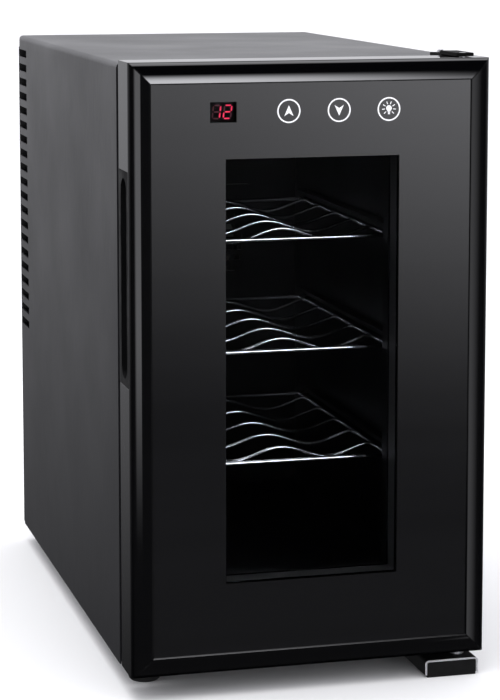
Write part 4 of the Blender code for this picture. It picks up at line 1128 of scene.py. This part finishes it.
@dataclass
class Screws:
    """Pan-head screws with a cross recess, grown at the CAD screws' places."""

    head_radius: float = 0.003
    head_height: float = 0.0014
    shank_radius: float = 0.0014
    shank_length: float = 0.008
    recess: float = 0.0022
    crown_share: float = 0.72
    slot_share: float = 0.28
    recess_lift: float = 0.9
    skew: float = 0.5
    head_sides: int = 32
    shank_sides: int = 16

    def tree(self) -> Growth:
        """The tree: a head, less its cross, and a shank, at every point.

        Returns:
            The tree.
        """
        growth = Growth("screw_growth")
        radius = growth.size("Head Radius")
        height = growth.size("Head Height")
        shank = growth.size("Shank Radius")
        length = growth.size("Shank Length")
        recess = growth.size("Recess")
        turn = growth.size("Turn", "NodeSocketVector")
        crown = growth.step("MULTIPLY", radius, self.crown_share)
        head = growth.add("GeometryNodeMeshCone", {
            "Vertices": self.head_sides, "Radius Top": crown, "Radius Bottom": radius,
            "Depth": height}).outputs[0]
        slot = growth.step("MULTIPLY", recess, self.slot_share)
        bars = []
        for size in ((recess, slot), (slot, recess)):
            cube = growth.add("GeometryNodeMeshCube", {0: growth.vector(*size, height)}).outputs[0]
            lift = growth.vector(0.0, 0.0, growth.step("MULTIPLY", height, self.recess_lift))
            bars.append(growth.moved(cube, lift))
        cut = growth.add("GeometryNodeMeshBoolean", operation="DIFFERENCE", solver="EXACT")
        growth.tree.links.new(head, cut.inputs[0])
        for bar in bars:
            growth.tree.links.new(bar, cut.inputs[1])
        stem = growth.add("GeometryNodeMeshCylinder", {
            "Vertices": self.shank_sides, "Radius": shank, "Depth": length}).outputs[0]
        drop = growth.vector(0.0, 0.0, growth.step("MULTIPLY", length, -0.5))
        screw = growth.joined(cut.outputs[0], growth.moved(stem, drop))
        growth.end(growth.scattered(screw, growth.entry.outputs["Geometry"], turn), ZINC)
        return growth

    def build(self) -> None:
        """Grows the rear, top and bottom groups."""
        growth = self.tree()
        groups = (("rear_screws", [f"rear_cover_screw_{i}" for i in range(1, 5)], 1, 1.0),
                  ("top_screws", ["upper_hinge_screw_1", "upper_hinge_screw_2"], 2, 1.0),
                  ("bottom_screws", ["lower_hinge_screw_1", "lower_hinge_screw_2"], 2, -1.0))
        for name, nodes, axis, side in groups:
            places = []
            for node in nodes:
                low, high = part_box(node)
                place = (low + high) / 2
                outer = high[axis] if side > 0 else low[axis]
                place[axis] = outer - side * self.head_height
                places.append(place)
            if axis == 1:
                turn = (-math.pi / 2, 0.0, 0.0)
            else:
                turn = (0.0 if side > 0 else math.pi, 0.0, self.skew)
            sizes = {"Head Radius": self.head_radius, "Head Height": self.head_height,
                     "Shank Radius": self.shank_radius, "Shank Length": self.shank_length,
                     "Recess": self.recess, "Turn": turn}
            place_on(growth.grow(name, ZINC, sizes, places), "cabinet", nodes)


@dataclass
class Cabinet:
    """Shell, liner, rear cover and what stands under them."""

    contact_skin: float = 0.00015
    contact_pitch: float = 0.007
    contact_lift: float = 0.002
    contact_root: float = 0.016
    contact_reach: Point = (0.001, 0.009, 0.002)
    contact_round: float = 0.0003
    bracket_round: float = 0.0028
    bracket_sheet: float = 0.0015
    plate_sharp: float = 20.0

    def panels(self) -> None:
        """Dresses the shell, the base, the liner and the cover."""
        smoothed("cabinet_shell", "cabinet", CABINET_COAT)
        smoothed("inner_liner", "cabinet", LINER_PLASTIC)
        dress("base_panel", CABINET_COAT)
        dress("rear_cover", COVER_PLASTIC)
        dress("insulation", RIGID_FOAM)
        dress("foam_back_plate", PLATE_STEEL)
        dress("catch_frame", PLATE_STEEL)

    def socket(self) -> None:
        """The mains inlet and its three plated contacts."""
        dress("power_inlet", CASE_PLASTIC)
        low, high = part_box("power_inlet")
        centre = (low + high) / 2
        root = high.y + CLEARANCE - self.contact_root
        half_x, length, half_z = (size + self.contact_skin for size in self.contact_reach)
        maker = Maker()
        for index in (-1, 0, 1):
            x = centre.x + index * self.contact_pitch
            z = centre.z + (-self.contact_lift if index else self.contact_lift)
            maker.block((x - half_x, root, z - half_z), (x + half_x, root + length, z + half_z))
        place_on(maker.piece("inlet_contacts", CONTACT_BRASS, bevel=self.contact_round), "cabinet")

    def feet(self) -> None:
        """The three round feet and the block in the hinge bracket."""
        for node in ("foot_front_left", "foot_rear_left", "foot_rear_right"):
            smoothed(node, "cabinet", FOOT_RUBBER)
        dress("hinge_foot_block", BLOCK_RUBBER)

    def channel(self, low: Vector, high: Vector, top: float) -> Outline:
        """Section of the bracket across X and Z: a channel open below, with rounded shoulders.

        Args:
            low: the bracket's lowest corner.
            high: the bracket's highest corner.
            top: the channel's top.

        Returns:
            The closed outline.
        """
        sheet = self.bracket_sheet
        outer = self.bracket_round
        inner = outer - sheet
        points = [(low.x, low.z)]
        points += arc((low.x + outer, top - outer), (outer, outer), 180.0, 90.0, 8)
        points += arc((high.x - outer, top - outer), (outer, outer), 90.0, 0.0, 8)
        points += [(high.x, low.z), (high.x - sheet, low.z)]
        points += arc((high.x - outer, top - outer), (inner, inner), 0.0, 90.0, 8)
        points += arc((low.x + outer, top - outer), (inner, inner), 90.0, 180.0, 8)
        points.append((low.x + sheet, low.z))
        return points

    def hinges(self) -> None:
        """The folded lower bracket, the upper plate, pins and washer."""
        low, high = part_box("lower_hinge_bracket")
        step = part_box("cabinet_shell")[0].y + 2 * CLEARANCE
        front_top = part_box("hinge_washer")[0].z - CLEARANCE
        maker = Maker()
        maker.prism(self.channel(low, high, front_top), 1, low.y, step)
        maker.prism(self.channel(low, high, high.z), 1, step, high.y)
        place_on(maker.piece("folded_bracket", BRACKET_STEEL), "cabinet",
                 ["lower_hinge_bracket"])
        smoothed("upper_hinge_bracket", "cabinet", HINGE_COAT,
                 self.plate_sharp)
        for node in ("upper_hinge_pin", "lower_hinge_pin", "hinge_washer"):
            smoothed(node, "cabinet", PIN_STEEL)

    def build(self) -> None:
        """Builds everything that stands still round the liner."""
        self.panels()
        self.socket()
        self.feet()
        self.hinges()
        Screws().build()


@dataclass
class Racks:
    """Three wire racks: a front and a rear bar, two side rods and wavy wires for the bottles."""

    bar_radius: float = 0.00175
    wire_radius: float = 0.0015
    side_inset: float = 0.0105
    first: float = 0.027
    pitch: float = 0.045
    crest: float = 0.0040
    trough: float = 0.0048
    crests: int = 2
    ends_rise: float = 22.0
    wave_points: int = 73
    bar_sides: int = 20
    rod_sides: int = 16
    wave_sides: int = 14

    def tree(self) -> Growth:
        """The tree: bars, rods and a row of waves, placed at the front bar.

        Returns:
            The tree.
        """
        growth = Growth("rack_growth")
        reach = growth.size("Reach")
        side = growth.size("Side")
        length = growth.size("Length")
        first = growth.size("First")
        pitch = growth.size("Pitch")
        count = growth.size("Waves", "NodeSocketInt")
        crest = growth.size("Crest")
        trough = growth.size("Trough")
        bar_radius = growth.size("Bar Radius")
        wire_radius = growth.size("Wire Radius")
        place = growth.size("Place", "NodeSocketVector")
        minus = {name: growth.step("MULTIPLY", value, -1.0) for name, value in
                 (("reach", reach), ("side", side))}
        bar = growth.rod(growth.vector(minus["reach"]), growth.vector(reach), bar_radius,
                         self.bar_sides)
        bars = growth.row(bar, 2, growth.vector(), growth.vector(0.0, length))
        rod = growth.rod(growth.vector(), growth.vector(0.0, length), wire_radius, self.rod_sides)
        rods = growth.row(rod, 2, growth.vector(minus["side"]),
                          growth.vector(growth.step("MULTIPLY", side, 2.0)))
        line = growth.add("GeometryNodeCurvePrimitiveLine",
                          {"Start": growth.vector(minus["side"]), "End": growth.vector(side)})
        line = growth.add("GeometryNodeResampleCurve",
                          {"Curve": line.outputs[0], "Count": self.wave_points})
        share = growth.add("GeometryNodeSplineParameter").outputs["Factor"]
        swing = growth.step("MULTIPLY", growth.step("ADD", crest, trough), 0.5)
        mean = growth.step("MULTIPLY", growth.step("SUBTRACT", crest, trough), 0.5)
        wave = growth.step("COSINE", growth.step("MULTIPLY", share, 2 * math.pi * self.crests))
        level = growth.step("MULTIPLY_ADD", wave, swing, mean)
        off_middle = growth.step("ABSOLUTE", growth.step("SUBTRACT", share, 0.5))
        from_end = growth.step("SUBTRACT", 0.5, off_middle)
        held = growth.step("MINIMUM", growth.step("MULTIPLY", from_end, self.ends_rise), 1.0)
        level = growth.step("MULTIPLY", level, held)
        line = growth.add("GeometryNodeSetPosition",
                          {"Geometry": line.outputs[0], "Offset": growth.vector(0.0, 0.0, level)})
        wire = growth.swept(line.outputs[0], wire_radius, self.wave_sides)
        waves = growth.row(wire, count, growth.vector(0.0, first), growth.vector(0.0, pitch))
        growth.end(growth.moved(growth.joined(bars, rods, waves), place), BRIGHT_WIRE)
        return growth

    def build(self) -> None:
        """Grows one rack for each CAD rack."""
        growth = self.tree()
        for node, body in (("rack_1", "rack_low"), ("rack_2", "rack_middle"), ("rack_3", "rack_high")):
            low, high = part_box(node)
            front = low.y + self.bar_radius
            length = high.y - self.bar_radius - front
            level = high.z - self.crest - self.wire_radius
            sizes = {"Reach": high.x, "Side": high.x - self.side_inset, "Length": length,
                     "First": self.first, "Pitch": self.pitch,
                     "Waves": int((length - self.first) / self.pitch) + 1, "Crest": self.crest,
                     "Trough": self.trough, "Bar Radius": self.bar_radius,
                     "Wire Radius": self.wire_radius, "Place": (0.0, front, level)}
            place_on(growth.grow(node + "_wires", BRIGHT_WIRE, sizes), body, [node])


@dataclass
class CoolingUnit:
    """Fans, sinks, module, power supply and lamp."""

    blades: int = 7
    hub_share: float = 0.2
    hub_round: float = 0.0012
    hub_angles: Point = (0.0, 0.4, 0.8, 1.2, math.pi / 2)
    hub_sides: int = 64
    frame_wall: float = 0.003
    tip_gap: float = 0.0022
    blade_thickness: float = 0.0011
    blade_root: float = 0.92
    root_pitch: float = 48.0
    untwist: float = 16.0
    root_rise: float = 0.40
    rise_taper: float = 0.03
    blade_sweep: float = 0.22
    blade_camber: float = 0.10
    chord_share: float = 0.9
    blunt_edge: float = 0.02
    sections: int = 9
    chord_points: int = 7

    def rotor(self, prefix: str) -> None:
        """A fan rotor with a domed hub and curved blades.

        Args:
            prefix: hot or cold.
        """
        low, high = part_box(f"{prefix}_fan_rotor")
        frame_low, frame_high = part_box(f"{prefix}_fan_frame")
        size = frame_high.x - frame_low.x
        hub = size * self.hub_share
        tip = size / 2 - self.frame_wall - self.tip_gap
        centre = Vector((0.0, 0.0, (frame_low.z + frame_high.z) / 2))
        edge = self.hub_round
        profile = [(0.0, low.y)]
        profile += [(hub - edge + edge * math.sin(angle), low.y + edge - edge * math.cos(angle))
                    for angle in self.hub_angles]
        profile += [(hub, high.y), (0.0, high.y)]
        maker = Maker()
        maker.turned(profile, centre, 1, self.hub_sides)
        mid = (low.y + high.y) / 2
        for index in range(self.blades):
            turn = (Matrix.Translation((0.0, mid, centre.z))
                    @ Matrix.Rotation(2 * math.pi * index / self.blades, 4, "Y"))
            self.blade(maker, hub * self.blade_root, tip, high.y - low.y, turn)
        place_on(maker.piece(f"{prefix}_rotor_moulding", FAN_PLASTIC), f"{prefix}_fan",
                 [f"{prefix}_fan_rotor"])

    def blade(self, maker: Maker, root: float, tip: float, depth: float, turn: Matrix) -> None:
        """One blade: sections that sweep back, twist and taper from root to tip.

        Args:
            maker: the mesh that it's added to.
            root: radius at its root.
            tip: radius at its tip.
            depth: the rotor's depth.
            turn: the blade's place round the hub.
        """
        loops = []
        for section in range(self.sections):
            share = section / (self.sections - 1)
            radius = root + (tip - root) * share
            pitch = math.radians(self.root_pitch - self.untwist * share)
            rise = depth * (self.root_rise - self.rise_taper * share)
            sweep = self.blade_sweep * share
            loop = []
            for side in (1, -1):
                for place in range(self.chord_points):
                    u = (place / (self.chord_points - 1) * 2 - 1) * side
                    camber = self.blade_camber * rise * (1 - u * u)
                    y = u * rise + side * self.blade_thickness / 2 * (1 + self.blunt_edge - u * u)
                    around = u * rise / math.tan(pitch) * self.chord_share + camber
                    angle = sweep + around / radius
                    point = Vector((radius * math.cos(angle), max(-depth / 2, min(depth / 2, y)),
                                    -radius * math.sin(angle)))
                    loop.append(turn @ point)
            loops.append(loop)
        maker.rings(loops)

    def build(self) -> None:
        """Builds the rotors and dresses the rest."""
        for prefix in ("hot", "cold"):
            self.rotor(prefix)
            smoothed(f"{prefix}_fan_frame", "cabinet", FAN_PLASTIC)
        for node in ("hot_sink", "cold_sink"):
            dress(node, FIN_ALLOY)
        smoothed("cold_fan_grille", "cabinet", LINER_PLASTIC)
        smoothed("power_supply", "cabinet", CASE_PLASTIC)
        dress("peltier_module", WHITE_CERAMIC)
        dress("lamp_board", BOARD)
        smoothed("lamp_lens", "cabinet", LENS_PLASTIC)


# --- door ----------------------------------------------------------------------------------------

@dataclass
class DoorFrame:
    """Four mitred rails with a crowned face."""

    face: float = 0.0155
    crown: float = 0.007
    chamfer: float = 0.0006
    lip: float = 0.0012
    wall: float = 0.0025
    glass_edge: float = 0.0102
    core_gap: float = 0.001
    round_steps: int = 30
    edge_round: float = 0.00022
    mitre: float = 0.00012
    rail_sharp: float = 32.0

    def section(self, front: float, back: float, core: float) -> Outline:
        """The rail's section as inset from the door's edge and Y.

        Args:
            front: where the rail's front edge is.
            back: the door's back.
            core: where the solid part behind the glass ends.

        Returns:
            The closed outline.
        """
        points = [(0.0, back)]
        reach = self.face - self.chamfer
        for step in range(self.round_steps + 1):
            angle = math.pi / 2 * step / self.round_steps
            points.append((reach - reach * math.cos(angle), front + self.crown * (1 - math.sin(angle))))
        lip_back = front + self.lip
        points += [(self.face, front + self.chamfer), (self.face, lip_back)]
        points += [(self.glass_edge, lip_back), (self.glass_edge, core), (2 * self.wall, core),
                   (self.wall, core + self.wall), (self.wall, back)]
        return points

    def rail(self, side: str, outline: Outline, low: Vector, high: Vector) -> bpy.types.Object:
        """One rail.

        Args:
            side: left, right, top or bottom.
            outline: the section.
            low: the door's lowest corner.
            high: the door's highest corner.

        Returns:
            The rail.
        """
        loops = []
        for end in (0, 1):
            loop = []
            for inset, y in outline:
                if side in ("left", "right"):
                    x = low.x + inset if side == "left" else high.x - inset
                    level = high.z - inset - self.mitre if end else low.z + inset + self.mitre
                    loop.append((x, y, level))
                else:
                    z = low.z + inset if side == "bottom" else high.z - inset
                    x = high.x - inset - self.mitre if end else low.x + inset + self.mitre
                    loop.append((x, y, z))
            loops.append(loop)
        maker = Maker()
        maker.rings(loops)
        return maker.piece(f"{side}_rail", DOOR_LACQUER, self.rail_sharp, self.edge_round)

    def build(self) -> None:
        """Builds the rails and cuts the left one for the pull."""
        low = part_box("door_rail_left")[0]
        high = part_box("door_rail_right")[1]
        low = Vector((low.x, low.y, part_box("door_rail_bottom")[0].z))
        high = Vector((high.x, high.y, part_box("door_rail_top")[1].z))
        outline = self.section(low.y, high.y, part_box("outer_glass")[1].y + self.core_gap)
        for side in ("left", "right", "top", "bottom"):
            rail = self.rail(side, outline, low, high)
            if side == "left":
                near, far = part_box("handle_insert")
                carved(rail, (low.x - CLEARANCE, near.y - CLEARANCE, near.z - CLEARANCE),
                       (low.x + self.wall + CLEARANCE, far.y + CLEARANCE, far.z + CLEARANCE))
            place_on(rail, "door", [f"door_rail_{side}"])


@dataclass
class PrintedBorder:
    """The glossy black border of the glass, open at the window and at the display."""

    depth: float = 0.00008
    spacer_wall: float = 0.003
    cut_reach: float = 0.01

    def build(self) -> None:
        """Lays the border as a film on the glass and cuts its two openings."""
        low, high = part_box("outer_glass")
        front = low.y - self.depth - SLIP / 2
        maker = Maker()
        maker.block((low.x, front, low.z), (high.x, front + self.depth, high.z))
        film = maker.piece("printed_border", MASK_PRINT, None)
        ahead = Vector((0.0, self.cut_reach, 0.0))
        margin = Vector((self.spacer_wall, 0.0, self.spacer_wall))
        window_low, window_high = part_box("window_spacer")
        carved(film, window_low + margin - ahead, window_high - margin)
        display_low, display_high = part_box("display_module")
        carved(film, display_low - ahead, display_high)
        place_on(film, "door")


@dataclass
class DoorSeal:
    """The magnetic gasket: a base strip, a folded bellows and a flat magnet bulb."""

    inset: float = 0.020
    width: float = 0.012
    seal_sharp: float = 60.0

    def section(self, near: float, far: float) -> Outline:
        """Outline across the seal as inset and Y, from the door's back to the cabinet.

        Args:
            near: where it starts, at the door.
            far: where it ends, at the cabinet.

        Returns:
            The closed outline.
        """
        rise = far - near
        half = [(0.0, 0.0), (0.0, 0.12), (0.16, 0.20), (0.24, 0.32), (0.10, 0.44), (0.05, 0.52),
                (0.10, 0.60), (0.04, 0.70), (0.02, 0.82), (0.06, 0.93), (0.16, 1.0)]
        left = [(self.inset + u * self.width, near + v * rise) for u, v in half]
        right = [(self.inset + (1 - u) * self.width, near + v * rise) for u, v in half]
        return left + right[::-1]

    def build(self) -> None:
        """Carries the section round the door, mitred at the corners."""
        low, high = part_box("door_gasket")
        outline = self.section(low.y, high.y)
        edge = low.x - self.inset
        bottom, top = low.z - self.inset, high.z + self.inset
        corners = ((edge, 1, bottom, 1), (-edge, -1, bottom, 1), (-edge, -1, top, -1), (edge, 1, top, -1))
        loops = [[(x + i * right, y, z + i * up) for i, y in outline] for x, right, z, up in corners]
        maker = Maker()
        maker.rings(loops, closed=True)
        place_on(maker.piece("bellows_seal", SEAL_VINYL, self.seal_sharp), "door",
                 ["door_gasket"])


@dataclass
class Door:
    """Everything that swings, apart from its controls."""

    def build(self) -> None:
        """Builds the frame and the seal, and dresses the rest."""
        DoorFrame().build()
        PrintedBorder().build()
        DoorSeal().build()
        dress("outer_glass", OUTER_PANE)
        dress("inner_glass", INNER_PANE)
        dress("mask_panel", MASK_PRINT)
        dress("window_spacer", SPACER_PLASTIC)
        dress("door_inner_panel", PANEL_PLASTIC)
        dress("door_foam", RIGID_FOAM)
        smoothed("handle_insert", "door", PULL_PLASTIC)
        for node in ("upper_bush", "lower_bush"):
            smoothed(node, "door", CASE_PLASTIC)


@dataclass
class Controls:
    """Display digits, touch icons and what is behind them."""

    ring_radius: float = 0.0085
    ring_stroke: float = 0.0010
    ring_sides: int = 72
    mark_depth: float = 0.00010
    digit_height: float = 0.0092
    digit_width: float = 0.0052
    digit_gap: float = 0.0028
    segment: float = 0.0010
    slant: float = 0.12

    def sheet(self) -> tuple[float, float]:
        """The two levels of Y between which the printed marks lie, on the border's film."""
        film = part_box("outer_glass")[0].y - PrintedBorder.depth - SLIP
        return film - self.mark_depth, film

    def ring(self, maker: Maker, x: float, z: float) -> None:
        """A thin ring round an icon.

        Args:
            maker: the mesh that it's added to.
            x: its middle.
            z: its middle.
        """
        near, far = self.sheet()
        inner = self.ring_radius - self.ring_stroke
        profile = [(self.ring_radius, near), (self.ring_radius, far), (inner, far), (inner, near)]
        maker.turned(profile, (x, 0.0, z), 1, self.ring_sides)

    def arrow(self, maker: Maker, x: float, z: float, up: int) -> None:
        """A notched arrowhead, as two halves that meet in the middle.

        Args:
            maker: the mesh that it's added to.
            x: its middle.
            z: its middle.
            up: 1 where it points up and -1 where it points down.
        """
        near, far = self.sheet()
        half, tip, tail, notch = 0.0034, 0.0040, -0.0036, -0.0014
        right = ((0.0, tip), (half, tail), (0.0, notch))
        left = ((0.0, tip), (0.0, notch), (-half, tail))
        for corners in (right, left):
            maker.prism([(x + across, z + up * level) for across, level in corners], 1, near, far)

    def bulb(self, maker: Maker, x: float, z: float) -> None:
        """A bulb with its cap and eight rays.

        Args:
            maker: the mesh that it's added to.
            x: its middle.
            z: its middle.
        """
        near, far = self.sheet()
        radius, neck, neck_level = 0.0021, 0.0009, -0.0019
        cap, cap_level, cap_pitch, cap_half = 0.0008, -0.0025, 0.0009, 0.0003
        rays, ray_start, ray_end, ray_half = 8, 0.0031, 0.0052, 0.00028
        glass = arc((x, z + 0.0006), (radius, radius), -58.0, 238.0, 20)
        maker.prism(glass + [(x - neck, z + neck_level), (x + neck, z + neck_level)], 1, near, far)
        for row in range(2):
            level = z + cap_level - row * cap_pitch
            maker.block((x - cap, near, level - cap_half), (x + cap, far, level + cap_half))
        for ray in range(rays):
            angle = math.radians(-45.0 + 270.0 * ray / (rays - 1))
            turn = Matrix.Translation((x, 0.0, z + 0.0004)) @ Matrix.Rotation(-angle, 4, "Y")
            maker.block((ray_start, near, -ray_half), (ray_end, far, ray_half), turn)

    def icons(self) -> None:
        """The three printed touch marks, which carry a painted glow from their material."""
        maker = Maker()
        for node, draw in (("touch_pad_up", lambda x, z: self.arrow(maker, x, z, 1)),
                           ("touch_pad_down", lambda x, z: self.arrow(maker, x, z, -1)),
                           ("touch_pad_light", lambda x, z: self.bulb(maker, x, z))):
            at = middle(node)
            self.ring(maker, at.x, at.z)
            draw(at.x, at.z)
        place_on(maker.piece("touch_marks", ICON_PRINT_PAINTED_GLOW, None), "door")

    def segments(self, x: float, z: float) -> list[Outline]:
        """The seven bars of a digit, clockwise from the top one, with the middle one last.

        Args:
            x: the digit's middle.
            z: the digit's middle.

        Returns:
            One outline for each bar.
        """
        w, h, t = self.digit_width / 2, self.digit_height / 2, self.segment / 2
        cut = t * 0.9

        def level(height: float) -> Outline:
            """A bar across, at a height."""
            return [(-w + cut, height), (-w + cut + t, height + t), (w - cut - t, height + t),
                    (w - cut, height), (w - cut - t, height - t), (-w + cut + t, height - t)]

        def upright(side: float, start: float, end: float) -> Outline:
            """A bar upwards, at one side."""
            return [(side, start + cut), (side + t, start + cut + t), (side + t, end - cut - t),
                    (side, end - cut), (side - t, end - cut - t), (side - t, start + cut + t)]

        bars = [level(h), upright(w, 0.0, h), upright(w, -h, 0.0), level(-h), upright(-w, -h, 0.0),
                upright(-w, 0.0, h), level(0.0)]
        return [[(x + px + self.slant * pz, z + pz) for px, pz in bar] for bar in bars]

    def digits(self) -> None:
        """A lit number and the unlit bars beside it; the unlit bars carry a painted glow, and only the lit
        number is a real light.
        """
        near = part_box("outer_glass")[1].y + SLIP / 2
        far = near + self.mark_depth
        at = middle("display_module")
        lit, dim = Maker(), Maker()
        step = (self.digit_width + self.digit_gap) / 2
        one, two = {1, 2}, {0, 1, 6, 4, 3}
        for offset, on in ((-step, one), (step, two)):
            for index, bar in enumerate(self.segments(at.x + offset, at.z)):
                (lit if index in on else dim).prism(bar, 1, near, far)
        place_on(lit.piece("display_lit", DIGIT_LIT, None), "door")
        place_on(dim.piece("display_unlit_painted_glow", DIGIT_DIM_PAINTED_GLOW, None), "door")

    def build(self) -> None:
        """Draws the marks and dresses what is behind them."""
        self.icons()
        self.digits()
        dress("display_module", DISPLAY_WINDOW)
        dress("control_board", BOARD)
        for node in ("touch_pad_up", "touch_pad_down", "touch_pad_light"):
            dress(node, FOOT_RUBBER)


def main() -> None:
    """Builds the studio and the cooler's looks."""
    logging.basicConfig(level=logging.INFO, format="%(name)s: %(message)s")
    Studio().build()
    for part in (Cabinet(), Racks(), CoolingUnit(), Door(), Controls()):
        part.build()
        log.info("%s is done", type(part).__name__)


if __name__ == "__main__":
    main()
